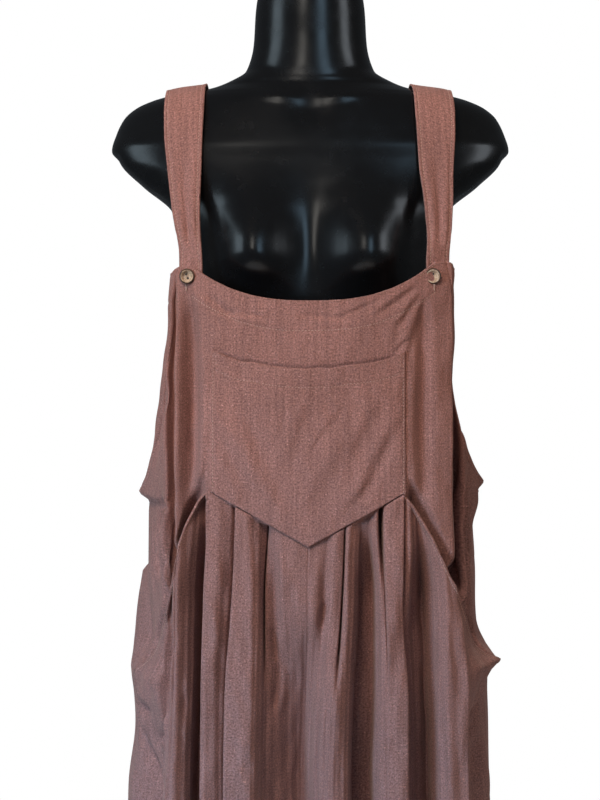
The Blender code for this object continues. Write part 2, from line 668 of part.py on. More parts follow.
def build_bib_back():
    columns = [(RIGHT, part) for part in reversed(BACK_PARTS[1:])] + [(LEFT, part) for part in BACK_PARTS]
    heights = {}
    for side in (LEFT, RIGHT):
        armhole_z = FRONT_ARMHOLE[side][0].z
        heights[side] = rows_between(ARMHOLE_ROWS, BACK_TOP_Z, armhole_z)
        heights[side] += rows_between(WAIST_ROWS, armhole_z, BACK_WAIST_Z)
        heights[side].append(BACK_WAIST_Z + SEAM / 2)

    def point(column, row):
        side, part = columns[column]
        z = mix(heights[-side][row], heights[side][row], 0.5 + smooth(part) / 2)
        return pressed(side, part * (read(BACK_ARMHOLE, z).reach - EDGE), z, BACK, 0.0)

    panel("bib_back", len(columns) - 1, len(heights[LEFT]) - 1, point, SHADED_LINEN)


def build_strap(side, name):
    """A strap: free over the shoulder, and close behind the bib's cloth at both ends."""
    columns = len(STRAP_ACROSS) - 1
    rows = 2 * (len(STRAPS) - 1)
    behind = CLOTH / 2 + SEAM + STRAP_THICK / 2

    def point(column, row):
        now = read(STRAPS, row / 2)
        before = read(STRAPS, row / 2 - STRAP_HEADING_STEP)
        after = read(STRAPS, row / 2 + STRAP_HEADING_STEP)
        run = Vector((0, after.y - before.y, after.z - before.z)).normalized()
        out = Vector((0, -run.z, run.y))
        reach = -side * STRAP_ACROSS[column] * now.width / 2
        turn = math.radians(now.turn)
        x = (now.left_x if side == LEFT else now.right_x) + reach * math.cos(turn)
        y = now.y + reach * math.sin(turn)
        z = now.z - reach * STRAP_TILT * smooth((now.z - STRAP_SHOULDER_Z) / STRAP_SHOULDER_RUN)
        free = Vector((side * x, y, z)) + out * STRAP_CREASE[column] * now.crease
        held_z = min(z, BACK_TOP_Z)
        if y < 0:
            held = on_bib(side, x, held_z, -behind)
        else:
            held = pressed(side, place_at(side, x, held_z, BACK), held_z, BACK, behind)
        held.z = z
        return free.lerp(held, smooth((BACK_TOP_Z + STRAP_FREE - z) / STRAP_FREE))

    panel(name, columns, rows, point, LINEN, STRAP_THICK)


# ---------------------------------------------------------------- buttons
def build_button(side, name):
    """A dished two-hole button, lying on the bib where the strap is fastened."""
    radius = BUTTON_RADIUS
    thick = BUTTON_THICK
    outline = [(radius * across, thick * up) for across, up in BUTTON_OUTLINE]
    piece = turned(name, outline, COCONUT, steps=BUTTON_STEPS)
    for end in (-1, 1):
        bpy.ops.mesh.primitive_cylinder_add(vertices=BUTTON_HOLE_SIDES, radius=BUTTON_HOLE_RADIUS,
                                            depth=4 * thick)
        cutter = bpy.context.object
        cutter.name = f"{name}_hole_cutter"
        cutter.parent = piece
        cutter.location = (end * BUTTON_HOLE_APART / 2, 0, thick / 2)
        cutter.hide_render = True
        cutter.display_type = "WIRE"
        for collection in list(cutter.users_collection):
            collection.objects.unlink(cutter)
        cutters.objects.link(cutter)
        hole = piece.modifiers.new("hole", "BOOLEAN")
        hole.operation = "DIFFERENCE"
        hole.object = cutter
    x = BUTTON_X[side]
    middle = on_bib(side, x, BUTTON_Z, 0)
    across = (on_bib(side, x + radius, BUTTON_Z, 0) - on_bib(side, x - radius, BUTTON_Z, 0)) * side
    up = on_bib(side, x, BUTTON_Z + radius, 0) - on_bib(side, x, BUTTON_Z - radius, 0)
    out = across.cross(up).normalized()
    turns = [step * math.tau / BUTTON_STEPS for step in range(BUTTON_STEPS)]
    under = [on_bib(side, x + radius * math.cos(turn), BUTTON_Z + radius * math.sin(turn), 0)
             for turn in turns]
    proud = max(0.0, *((point - middle).dot(out) for point in under)) + CLOTH / 2 + FIT
    across = (across - out * across.dot(out)).normalized()
    turned_on = Matrix((across, out.cross(across), out)).transposed().to_4x4()
    piece.matrix_world = Matrix.Translation(middle + out * proud) @ turned_on


# ---------------------------------------------------------------- dress form and stand
def form_point(ring_at, angle):
    across, out = squared_circle(angle, ring_at.power)
    x = ring_at.half_width * across
    y = ring_at.centre_y - ring_at.half_depth * out
    if out > 0:
        spread_z = BUST_SPREAD_UP if ring_at.z > BUST_Z else BUST_SPREAD_DOWN
        aside = (abs(x) - BUST_X) / BUST_SPREAD_X
        above = (ring_at.z - BUST_Z) / spread_z
        y -= BUST_RISE * math.exp(-aside * aside - above * above) * smooth(out * BUST_FADE)
    return x, y, ring_at.z


def build_form():
    """The limbless torso: a loft through rings of unlike outline, flat at its underside and neck."""
    heights = [FORM_RINGS[0].z]
    for low, high in zip(FORM_RINGS, FORM_RINGS[1:]):
        steps = max(1, round((high.z - low.z) / FORM_STEP))
        heights += [mix(low.z, high.z, (step + 1) / steps) for step in range(steps)]
    bm = bmesh.new()
    loops = []
    for z in heights:
        ring_at = read(FORM_RINGS, z)
        angles = [math.tau * step / FORM_SEGMENTS for step in range(FORM_SEGMENTS)]
        loops.append([bm.verts.new(form_point(ring_at, angle)) for angle in angles])
    for lower, upper in zip(loops, loops[1:]):
        for at in range(FORM_SEGMENTS):
            after = (at + 1) % FORM_SEGMENTS
            bm.faces.new((lower[after], lower[at], upper[at], upper[after]))
    bm.faces.new(loops[0])
    bm.faces.new(reversed(loops[-1]))
    bmesh.ops.recalc_face_normals(bm, faces=bm.faces)
    mesh = bpy.data.meshes.new("form_torso")
    bm.to_mesh(mesh)
    bm.free()
    mesh.shade_smooth()
    add("form_torso", mesh, GLOSS_BLACK)


def build_stand():
    """A round base, and a pole that goes up one leg of the garment into a socket under the form."""
    form_foot_z = FORM_RINGS[0].z - FIT
    bore = POLE_RADIUS + FIT
    top = BASE_THICK
    base_outline = ((0, top), (BASE_RADIUS - BASE_EDGE, top), (BASE_RADIUS, top - BASE_EDGE),
                    (BASE_RADIUS, 0), (0, 0))
    turned("stand_base", base_outline, STEEL, steps=2 * TURN_STEPS)
    collar_top = top + COLLAR_HEIGHT
    flange_top = top + COLLAR_FLANGE_THICK
    collar_outline = ((bore, collar_top), (bore + COLLAR_WALL - COLLAR_CHAMFER, collar_top),
                      (bore + COLLAR_WALL, collar_top - COLLAR_CHAMFER),
                      (bore + COLLAR_WALL, flange_top + COLLAR_FILLET), (bore + COLLAR_FLANGE, flange_top),
                      (bore + COLLAR_FLANGE, top + FIT), (bore, top + FIT))
    collar = turned("stand_collar", collar_outline, STEEL, closed=True)
    collar.location = (POLE_X, FORM_RINGS[0].centre_y, 0)
    socket_z = form_foot_z - FLANGE_THICK
    socket_outline = ((0, form_foot_z), (FLANGE_RADIUS, form_foot_z), (FLANGE_RADIUS, socket_z),
                      (SOCKET_RADIUS, socket_z), (SOCKET_RADIUS, socket_z - SOCKET_DEPTH),
                      (bore, socket_z - SOCKET_DEPTH), (bore, socket_z), (0, socket_z))
    socket = turned("form_socket", socket_outline, STEEL)
    socket.location = (POLE_X, FORM_RINGS[0].centre_y, 0)
    pole_foot = top + FIT
    pole_top = socket_z - FIT
    bpy.ops.mesh.primitive_cylinder_add(vertices=TURN_STEPS, radius=POLE_RADIUS, depth=pole_top - pole_foot)
    made = bpy.context.object
    pole = add("stand_pole", made.data, STEEL)
    bpy.data.objects.remove(made)
    pole.location = (POLE_X, FORM_RINGS[0].centre_y, (pole_top + pole_foot) / 2)


# ---------------------------------------------------------------- the whole
for old in list(bpy.data.objects):
    bpy.data.objects.remove(old)
parts = bpy.data.collections.new("overalls_on_dress_form")
cutters = bpy.data.collections.new("cutters")
bpy.context.scene.collection.children.link(parts)
bpy.context.scene.collection.children.link(cutters)
root = bpy.data.objects.new("overalls", None)
parts.objects.link(root)

build_bib_front()
build_bib_pocket()
build_bib_back()
for build, stem in ((build_leg_front, "leg_front"), (build_leg_back, "leg_back"), (build_strap, "strap"),
                    (build_button, "button")):
    build(LEFT, f"{stem}_left")
    build(RIGHT, f"{stem}_right")
build_form()
build_stand()
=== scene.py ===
"""Loose pleated bib overalls on a limbless dress form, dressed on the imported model. Metres, front towards -Y.

Left and right are as seen from the front. The cloth follows the rings of the garment: x is the distance out
from the middle and d the depth in front of it (d = -y). place runs from 0 at the middle to 1 at the side."""

import math

import bmesh
import bpy
import numpy as np
from mathutils import Matrix, Vector


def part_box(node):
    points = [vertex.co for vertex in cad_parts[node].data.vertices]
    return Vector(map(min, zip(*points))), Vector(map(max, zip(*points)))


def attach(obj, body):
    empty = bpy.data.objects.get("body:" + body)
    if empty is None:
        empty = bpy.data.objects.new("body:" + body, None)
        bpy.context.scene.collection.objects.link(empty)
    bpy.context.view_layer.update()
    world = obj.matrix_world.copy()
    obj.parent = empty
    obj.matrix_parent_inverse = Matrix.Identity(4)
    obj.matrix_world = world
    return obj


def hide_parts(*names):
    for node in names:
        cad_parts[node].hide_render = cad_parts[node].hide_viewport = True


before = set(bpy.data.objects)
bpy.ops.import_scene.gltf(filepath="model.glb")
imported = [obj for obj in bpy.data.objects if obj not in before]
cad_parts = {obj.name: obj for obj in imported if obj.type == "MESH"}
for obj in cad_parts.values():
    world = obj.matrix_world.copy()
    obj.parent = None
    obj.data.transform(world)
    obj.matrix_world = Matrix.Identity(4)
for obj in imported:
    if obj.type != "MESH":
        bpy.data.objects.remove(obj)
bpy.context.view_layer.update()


# ---------------------------------------------------------------- dress form
# A limbless torso moulded in gloss black plastic, whole and smooth, with a flat neck cap, a flat underside
# and a shallow step round a patch on each side where an arm would begin. The overalls hang on its shoulders.
FORM_RINGS = np.array((
    # z, half width, half depth, centre y, squareness
    (0.7650, 0.1470, 0.0860, 0.008, 2.3),
    (0.8100, 0.1550, 0.0920, 0.008, 2.3),
    (0.8600, 0.1530, 0.0930, 0.008, 2.3),
    (0.9200, 0.1420, 0.0880, 0.006, 2.3),
    (0.9800, 0.1290, 0.0810, 0.002, 2.3),
    (1.0400, 0.1220, 0.0770, 0.000, 2.3),
    (1.1100, 0.1280, 0.0780, 0.000, 2.3),
    (1.1900, 0.1400, 0.0830, 0.000, 2.3),
    (1.2600, 0.1470, 0.0860, 0.001, 2.4),
    (1.2855, 0.1550, 0.0865, 0.002, 2.5),
    (1.3137, 0.1881, 0.0850, 0.004, 2.5),
    (1.3385, 0.2135, 0.0825, 0.005, 2.5),
    (1.3535, 0.2193, 0.0810, 0.006, 2.5),
    (1.3715, 0.2145, 0.0780, 0.006, 2.3),
    (1.3890, 0.2060, 0.0745, 0.006, 2.1),
    (1.4000, 0.1940, 0.0720, 0.006, 2.0),
    (1.4090, 0.1750, 0.0690, 0.006, 1.9),
    (1.4147, 0.1540, 0.0670, 0.006, 1.8),
    (1.4185, 0.1300, 0.0660, 0.006, 1.8),
    (1.4225, 0.1110, 0.0650, 0.006, 1.8),
    (1.4290, 0.0920, 0.0640, 0.006, 2.0),
    (1.4415, 0.0710, 0.0625, 0.004, 2.1),
    (1.4700, 0.0625, 0.0600, -0.001, 2.1),
    (1.5050, 0.0600, 0.0580, -0.008, 2.1),
    (1.5320, 0.0560, 0.0560, -0.012, 2.1),
))
BUST_X = 0.064
BUST_Z = 1.240
BUST_RISE = 0.032
BUST_SPREAD_X = 0.040
BUST_SPREAD_UP = 0.055
BUST_SPREAD_DOWN = 0.038
FORM_COLUMNS = 160
FORM_ROWS = 320
ROW_SHARES = (0, 0.10, 0.45, 0.70, 1)
ROW_HEIGHTS = (1.532, 1.44, 1.36, 1.24, 0.765)
COLUMN_CROWDING = 0.30
STUB_LOW_Z = 1.268
STUB_HIGH_Z = 1.352
STUB_LOW_FADE = 0.012
STUB_HIGH_FADE = 0.010
STUB_LEDGE = 0.0085
STUB_LEDGE_ROUND = 0.0012
STUB_LEDGE_DEEP = 0.0016
NOTCH_Z = 1.392
NOTCH_HALF_WIDTH = 0.013
NOTCH_HALF_HEIGHT = 0.014
NOTCH_DEEP = 0.0050
RIDGE_ABOVE_NOTCH = 0.012
RIDGE_SLOPE = 0.10
RIDGE_HALF = 0.0065
RIDGE_HIGH = 0.0030
RIDGE_STARTS_X = 0.010
RIDGE_START_FADE = 0.02
RIDGE_ENDS_X = 0.085
RIDGE_END_FADE = 0.05


def read(table, column, key):
    """A column of a table at each key, on a smooth curve through its rows that never overshoots them."""
    keys = table[:, 0]
    values = table[:, column]
    span = np.diff(keys)
    chord = np.diff(values) / span
    slope = np.concatenate((chord[:1], np.zeros(len(keys) - 2), chord[-1:]))
    before = chord[:-1]
    after = chord[1:]
    rising = before * after > 0
    total = np.where(rising, before + after, 1.0)
    slope[1:-1] = np.where(rising, 2 * before * after / total, 0.0)
    key = np.clip(key, keys[0], keys[-1])
    at = np.clip(np.searchsorted(keys, key, "right") - 1, 0, len(keys) - 2)
    part = (key - keys[at]) / span[at]
    rise = values[at + 1] - values[at]
    start = slope[at] * span[at] - rise
    end = rise - slope[at + 1] * span[at]
    return values[at] + rise * part + part * (1 - part) * (start * (1 - part) + end * part)


def smooth(part):
    part = np.clip(part, 0.0, 1.0)
    return part * part * (3 - 2 * part)


def squared_circle(angle, power):
    """A point on a circle of radius 1 that is squarer the higher its power."""
    across = np.cos(angle)
    out = np.sin(angle)
    radius = (np.abs(across) ** power + np.abs(out) ** power) ** (-1 / power)
    return across * radius, out * radius


def placed(name, bm):
    """An object in the scene from a finished bmesh."""
    mesh = bpy.data.meshes.new(name)
    bm.to_mesh(mesh)
    bm.free()
    piece = bpy.data.objects.new(name, mesh)
    bpy.context.scene.collection.objects.link(piece)
    return piece


def laid(name, points, lengths=None):
    """A grid whose points are moved to an array of rows and columns, with a map of its cloth in metres."""
    rows, columns = points.shape[:2]
    bm = bmesh.new()
    bmesh.ops.create_grid(bm, x_segments=columns - 1, y_segments=rows - 1, size=0.5)
    piece = placed(name, bm)
    mesh = piece.data
    flat = np.empty(3 * len(mesh.vertices))
    mesh.vertices.foreach_get("co", flat)
    flat = flat.reshape(-1, 3)
    across = np.rint((flat[:, 0] + 0.5) * (columns - 1)).astype(int)
    down = np.rint((0.5 - flat[:, 1]) * (rows - 1)).astype(int)
    mesh.vertices.foreach_set("co", points[down, across].ravel())
    if lengths is not None:
        corner = np.empty(len(mesh.loops), dtype=int)
        mesh.loops.foreach_get("vertex_index", corner)
        layer = mesh.uv_layers.new(name="cloth")
        layer.data.foreach_set("uv", lengths[down, across][corner].ravel())
    mesh.update()
    return piece, down * columns + across


def add(tree, kind, values=None, **settings):
    """A shader node with its settings made and its sockets set or linked."""
    made = tree.nodes.new(kind)
    for key, value in settings.items():
        setattr(made, key, value)
    for key, value in (values or {}).items():
        if isinstance(value, bpy.types.NodeSocket):
            tree.links.new(value, made.inputs[key])
        else:
            made.inputs[key].default_value = value
    return made


def material(name):
    made = bpy.data.materials.new(name)
    made.use_nodes = True
    made.node_tree.nodes.clear()
    return made, made.node_tree


def surface(tree, **values):
    """The material's one shader, from its socket names with underscores for spaces."""
    values = {key.replace("_", " "): value for key, value in values.items()}
    shader = add(tree, "ShaderNodeBsdfPrincipled", values)
    add(tree, "ShaderNodeOutputMaterial", {"Surface": shader.outputs[0]})
    return shader


def gloss_black():
    """Moulded plastic: nearly black, polished, with a faint ripple and a little dust."""
    made, tree = material("gloss_black_plastic")
    where = add(tree, "ShaderNodeTexCoord").outputs["Object"]
    ripple = add(tree, "ShaderNodeTexNoise", {"Vector": where, "Scale": 9.0, "Detail": 1.0})
    dust = add(tree, "ShaderNodeTexNoise", {"Vector": where, "Scale": 60.0, "Detail": 4.0})
    rough = add(tree, "ShaderNodeMapRange", {"Value": dust.outputs[0], "From Min": 0.35, "From Max": 0.75,
                                             "To Min": 0.22, "To Max": 0.30})
    bump = add(tree, "ShaderNodeBump", {"Height": ripple.outputs[0], "Strength": 0.25, "Distance": 0.004})
    surface(tree, Base_Color=(0.0042, 0.0044, 0.0050, 1), Roughness=rough.outputs[0],
            Specular_IOR_Level=0.42, Normal=bump.outputs[0])
    return made


def form_points(rows, columns):
    """The torso's skin, with a shallow step round a patch on each side where an arm would begin, and soft
    collar ridges over a notch.
    """
    z = np.interp(np.linspace(0, 1, rows), ROW_SHARES, ROW_HEIGHTS)[:, None]
    turn = np.linspace(0, math.tau, columns + 1)[None, :]
    angle = turn - COLUMN_CROWDING * np.sin(2 * turn)
    half_width, half_depth, centre_y, power = (read(FORM_RINGS, at, z) for at in range(1, 5))
    across, out = squared_circle(angle, power)
    capped = smooth((z - STUB_LOW_Z) / STUB_LOW_FADE) * smooth((STUB_HIGH_Z - z) / STUB_HIGH_FADE)
    ledge = smooth((np.abs(across) * half_width - half_width + STUB_LEDGE) / STUB_LEDGE_ROUND)
    inset = 1 - STUB_LEDGE_DEEP * capped * ledge / half_depth
    x = half_width * across * inset
    y = centre_y - half_depth * out * inset
    spread_z = np.where(z > BUST_Z, BUST_SPREAD_UP, BUST_SPREAD_DOWN)
    from_middle = np.abs(x)
    mound = ((from_middle - BUST_X) / BUST_SPREAD_X) ** 2 + ((z - BUST_Z) / spread_z) ** 2
    y = y - BUST_RISE * np.exp(-mound) * smooth(out * 1.5)
    notch = np.exp(-(x / NOTCH_HALF_WIDTH) ** 2 - ((z - NOTCH_Z) / NOTCH_HALF_HEIGHT) ** 2)
    ridge_z = NOTCH_Z + RIDGE_ABOVE_NOTCH + RIDGE_SLOPE * from_middle
    ridge = np.exp(-((z - ridge_z) / RIDGE_HALF) ** 2)
    ridge = ridge * smooth((from_middle - RIDGE_STARTS_X) / RIDGE_START_FADE)
    ridge = ridge * smooth((RIDGE_ENDS_X - from_middle) / RIDGE_END_FADE)
    y = y + (NOTCH_DEEP * notch - RIDGE_HIGH * ridge) * smooth(out * 2)
    return np.stack(np.broadcast_arrays(x, y, z), -1)


form, _ = laid("form_shell", form_points(FORM_ROWS, FORM_COLUMNS))
shell = bmesh.new()
shell.from_mesh(form.data)
bmesh.ops.remove_doubles(shell, verts=shell.verts, dist=0.00001)
bmesh.ops.holes_fill(shell, edges=[edge for edge in shell.edges if edge.is_boundary])
bmesh.ops.recalc_face_normals(shell, faces=shell.faces)
shell.to_mesh(form.data)
shell.free()
form.data.shade_smooth()
form.data.materials.append(gloss_black())
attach(form, "root")
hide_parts("form_torso")


# ---------------------------------------------------------------- stand
# A round steel base, a pole that goes up the right leg of the overalls, its collar, and the socket that is
# screwed under the form. All are brushed steel.
def steel():
    made, tree = material("satin_steel")
    where = add(tree, "ShaderNodeTexCoord").outputs["Object"]
    drawn = add(tree, "ShaderNodeMapping", {"Vector": where, "Scale": (40, 40, 900)})
    grain = add(tree, "ShaderNodeTexNoise", {"Vector": drawn.outputs[0], "Scale": 1.0, "Detail": 3.0})
    rough = add(tree, "ShaderNodeMapRange", {"Value": grain.outputs[0], "To Min": 0.26, "To Max": 0.42})
    bump = add(tree, "ShaderNodeBump", {"Height": grain.outputs[0], "Strength": 0.08, "Distance": 0.0004})
    surface(tree, Base_Color=(0.47, 0.47, 0.48, 1), Metallic=1.0, Roughness=rough.outputs[0],
            Normal=bump.outputs[0])
    return made


satin = steel()
for node_name in ("form_socket", "stand_pole", "stand_collar", "stand_base"):
    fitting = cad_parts[node_name]
    fitting.data.materials.clear()
    fitting.data.materials.append(satin)


# ---------------------------------------------------------------- bib front
# The front bib, cut in one with the sides that run on behind the pocket mouths. Its neckline and armholes
# are faced and topstitched, and it hangs in a soft trough inside each side.
LEFT = -1
RIGHT = 1
FRONT = 1
BACK = -1
HEM_Z = 0.100
CROTCH_Z = 0.590
CROTCH_TOP_Z = {FRONT: 0.655, BACK: 0.750}
BACK_WAIST_Z = 0.905
V_POINT_Z = 0.9315
NECK_DIP_Z = 1.1865
NECK_HALF_WIDTH = 0.125
NECK_RISE = {LEFT: 0.036, RIGHT: 0.041}
BIB_HALF_WIDTH = 0.142
CORNER = 0.55
CORNER_ROUND = 0.005
FACE_POWER = {LEFT: 2.0, RIGHT: 3.2}
LEG_POWER = 3.4
BACK_POWER = 2.7
BACK_TUCK = 0.28
INSEAM_SPLIT = 0.012
INSEAM_RUN = 0.060
CROTCH_CLEAR = 0.0018
HALF_RING = 0.26
RING_STEP = 0.004
MOUTH_GAPE = {LEFT: 0.013, RIGHT: 0.014}
MOUTH_TUCK = 0.015
MOUTH_TUCK_DEEP = 0.0195
MOUTH_TUCK_HIGH = 0.030
MOUTH_FADE = 0.070
CLOTH = 0.0011
HEM_CLOTH = 0.0022

LEVELS = {
    # z, fold x, fold d, back x, back d
    LEFT: np.array((
        (0.100, 0.152, 0.108, 0.206, 0.112),
        (0.400, 0.155, 0.112, 0.209, 0.116),
        (0.650, 0.153, 0.114, 0.209, 0.118),
        (0.715, 0.149, 0.116, 0.207, 0.118),
        (0.787, 0.1450, 0.116, 0.205, 0.117),
        (0.835, 0.1437, 0.115, 0.202, 0.116),
        (0.887, 0.142, 0.114, 0.196, 0.114),
        (0.895, 0.142, 0.114, 0.185, 0.112),
        (0.955, 0.1415, 0.113, 0.180, 0.110),
        (1.100, 0.1415, 0.108, 0.184, 0.104),
        (1.230, 0.1405, 0.091, 0.190, 0.098),
    )),
    RIGHT: np.array((
        (0.100, 0.156, 0.108, 0.206, 0.112),
        (0.400, 0.160, 0.112, 0.210, 0.116),
        (0.650, 0.165, 0.114, 0.209, 0.118),
        (0.755, 0.163, 0.116, 0.203, 0.118),
        (0.801, 0.161, 0.116, 0.204, 0.117),
        (0.835, 0.158, 0.115, 0.194, 0.116),
        (0.900, 0.149, 0.114, 0.190, 0.114),
        (0.965, 0.148, 0.108, 0.182, 0.110),
        (1.050, 0.148, 0.100, 0.184, 0.107),
        (1.130, 0.148, 0.0975, 0.187, 0.103),
        (1.180, 0.148, 0.0965, 0.189, 0.101),
        (1.230, 0.148, 0.091, 0.192, 0.098),
    )),
}
SIDE_SEAM = {
    # z, distance out, depth in front: it flares at the pocket's ear and at the foot of the armhole
    LEFT: np.array((
        (0.1000, 0.1900, 0.000), (0.4000, 0.1920, 0.004), (0.6500, 0.1960, 0.018), (0.7150, 0.1880, 0.022),
        (0.7550, 0.1890, 0.031), (0.7740, 0.1912, 0.034), (0.7860, 0.1912, 0.035), (0.7915, 0.1870, 0.034),
        (0.8030, 0.1785, 0.032), (0.8250, 0.1705, 0.027), (0.8500, 0.1720, 0.021), (0.9000, 0.1775, 0.010),
        (0.9550, 0.1778, 0.002), (0.9670, 0.1772, 0.001), (0.9768, 0.1878, 0.000), (1.2300, 0.1880, 0.000),
    )),
    RIGHT: np.array((
        (0.1000, 0.1900, 0.000), (0.4000, 0.1920, 0.004), (0.6500, 0.1940, 0.018), (0.7550, 0.1880, 0.030),
        (0.7740, 0.1896, 0.036), (0.7890, 0.1955, 0.041), (0.7970, 0.2020, 0.044), (0.8010, 0.2046, 0.045),
        (0.8055, 0.1950, 0.044), (0.8115, 0.1885, 0.042), (0.8220, 0.1810, 0.036), (0.8350, 0.1785, 0.030),
        (0.8700, 0.1795, 0.018), (0.9380, 0.1780, 0.006), (0.9690, 0.1850, 0.002), (0.9790, 0.1850, 0.001),
        (0.9890, 0.1915, 0.000), (1.2300, 0.1910, 0.000),
    )),
}
MIDDLE = np.array((
    # z, depth in front, lean to the right
    (0.100, 0.116, 0.000),
    (0.560, 0.118, 0.000),
    (0.680, 0.122, -0.009),
    (0.800, 0.129, -0.006),
    (0.930, 0.130, -0.003),
    (1.050, 0.124, 0.000),
    (1.230, 0.117, 0.000),
))
FRONT_ARMHOLE = {
    # z, reach past the corner, 1 at the side seam
    LEFT: np.array(((0.977, 1.00), (0.986, 0.91), (0.997, 0.815), (1.026, 0.67), (1.048, 0.56),
                    (1.081, 0.415), (1.120, 0.30), (1.156, 0.225), (1.187, 0.19), (1.230, 0.15))),
    RIGHT: np.array(((0.989, 1.00), (0.999, 0.80), (1.0175, 0.54), (1.032, 0.39), (1.046, 0.27),
                     (1.060, 0.18), (1.080, 0.11), (1.110, 0.07), (1.230, 0.07))),
}
MOUTH = {
    # place, z of the pocket mouth's edge, from the end of the V seam out to the side seam
    LEFT: np.array(((0.411, 0.989), (0.445, 0.982), (0.479, 0.967), (0.520, 0.944), (0.560, 0.902),
                    (0.708, 0.854), (0.834, 0.826), (1.000, 0.787))),
    RIGHT: np.array(((0.355, 0.986), (0.394, 0.974), (0.425, 0.961), (0.469, 0.940), (0.540, 0.898),
                     (0.650, 0.861), (0.800, 0.831), (1.000, 0.801))),
}
BIB_TROUGHS = {
    # z, middle x, half width, depth
    LEFT: np.array((
        (0.925, 0.1300, 0.010, 0.000),
        (0.975, 0.1280, 0.013, 0.011),
        (1.040, 0.1255, 0.016, 0.018),
        (1.140, 0.1255, 0.016, 0.017),
        (1.205, 0.1300, 0.009, 0.000),
    )),
    RIGHT: np.array((
        (0.930, 0.1170, 0.011, 0.000),
        (0.990, 0.1180, 0.013, 0.006),
        (1.060, 0.1180, 0.014, 0.009),
        (1.140, 0.1185, 0.012, 0.008),
        (1.192, 0.1210, 0.007, 0.000),
    )),
}
BIB_CREASES = np.array((
    # from x, z, to x, z, width, depth: soft folds and drag lines, in the front view
    (-0.118, 1.200, -0.070, 1.160, 0.0040, 0.0014),
    (-0.112, 1.178, -0.030, 1.168, 0.0035, 0.0010),
    (-0.116, 1.185, -0.108, 1.120, 0.0050, 0.0020),
    (-0.020, 1.172, 0.050, 1.167, 0.0030, 0.0009),
    (0.118, 1.206, 0.062, 1.166, 0.0042, 0.0016),
    (0.120, 1.200, 0.086, 1.152, 0.0040, 0.0016),
    (0.122, 1.198, 0.100, 1.118, 0.0050, 0.0022),
    (0.080, 1.190, 0.020, 1.165, 0.0030, 0.0009),
    (0.104, 1.150, 0.086, 1.130, 0.0030, 0.0012),
    (-0.095, 1.100, -0.020, 0.985, 0.0110, 0.0017),
    (-0.070, 1.095, -0.045, 0.990, 0.0070, 0.0010),
    (0.010, 1.095, -0.028, 1.000, 0.0080, 0.0012),
    (0.024, 1.070, -0.004, 1.022, 0.0030, 0.0006),
    (0.040, 1.085, 0.010, 1.040, 0.0034, 0.0005),
    (0.086, 1.100, 0.030, 0.990, 0.0100, 0.0017),
    (0.096, 1.070, 0.046, 0.968, 0.0070, 0.0017),
    (0.050, 1.060, -0.006, 0.952, 0.0085, 0.0013),
    (0.074, 1.010, 0.030, 0.960, 0.0050, 0.0009),
    (-0.098, 1.060, -0.052, 0.962, 0.0080, 0.0016),
    (-0.044, 1.010, -0.006, 0.952, 0.0070, 0.0010),
    (-0.100, 1.125, -0.070, 1.105, 0.0035, 0.0008),
    (-0.104, 1.060, -0.112, 0.990, 0.0045, 0.0016),
))
SIDE_CREASES = {
    # from cloth length out, z, to length out, z, width, depth: drags and folds where the side turns back
    LEFT: np.array((
        (0.148, 1.000, 0.158, 0.945, 0.0050, 0.0050),
        (0.150, 0.935, 0.152, 0.880, 0.0045, 0.0050),
        (0.166, 0.962, 0.196, 0.974, 0.0030, 0.0025),
        (0.160, 1.110, 0.214, 1.000, 0.0080, 0.0035),
        (0.190, 0.990, 0.212, 0.880, 0.0100, 0.0090),
        (0.230, 0.960, 0.240, 0.860, 0.0070, 0.0040),
        (0.176, 0.930, 0.204, 0.815, 0.0080, 0.0080),
        (0.162, 0.960, 0.184, 0.870, 0.0045, 0.0030),
        (0.214, 0.930, 0.246, 0.880, 0.0050, 0.0030),
        (0.205, 1.060, 0.236, 0.985, 0.0040, 0.0020),
    )),
    RIGHT: np.array((
        (0.156, 1.060, 0.160, 0.850, 0.0060, 0.0060),
        (0.176, 1.030, 0.180, 0.860, 0.0055, 0.0050),
        (0.198, 1.010, 0.200, 0.840, 0.0075, 0.0080),
        (0.222, 0.985, 0.226, 0.840, 0.0060, 0.0060),
        (0.240, 0.960, 0.242, 0.900, 0.0045, 0.0040),
        (0.168, 0.990, 0.190, 0.930, 0.0035, 0.0025),
        (0.210, 0.930, 0.232, 0.890, 0.0035, 0.0025),
        (0.190, 0.900, 0.214, 0.850, 0.0040, 0.0030),
        (0.175, 1.120, 0.200, 1.040, 0.0040, 0.0020),
    )),
}
FOLD_BACK = {
    # z, how far the cloth goes straight back behind the fold down each side, and how far past the fold
    # it is deepest and it ends
    LEFT: np.array(((0.840, 0.010, 0.004, 0.040), (0.880, 0.036, 0.004, 0.042), (0.960, 0.036, 0.004, 0.036),
                    (1.060, 0.030, 0.004, 0.032), (1.130, 0.022, 0.004, 0.025), (1.180, 0.014, 0.003, 0.018),
                    (1.215, 0.002, 0.003, 0.010))),
    RIGHT: np.array(((0.840, 0.006, 0.006, 0.040), (0.880, 0.034, 0.006, 0.046), (0.930, 0.044, 0.006, 0.050),
                     (1.000, 0.044, 0.006, 0.046), (1.040, 0.034, 0.005, 0.036), (1.090, 0.018, 0.005, 0.024),
                     (1.180, 0.008, 0.004, 0.014), (1.220, 0.001, 0.004, 0.010))),
}
POCKET_LEFT_X = -0.1035
POCKET_RIGHT_X = 0.0975
POCKET_CORNER_Z = 1.1344
POCKET_SAG = 0.0180
POCKET_DENTS = np.array(((0.00, 0.0), (0.03, 0.0022), (0.10, 0.0004), (0.16, -0.0004), (0.22, 0.0012),
                         (0.28, 0.0002), (0.50, -0.0004), (0.56, 0.0003), (0.60, -0.0008), (0.70, 0.0006),
                         (0.88, -0.0012), (1.00, 0.0)))
POCKET_PRESS = 0.0018
POCKET_PRESS_HALF = 0.0020
NECK_CORNER_X = 0.1390
NECK_CORNER_ROUND = 0.0045
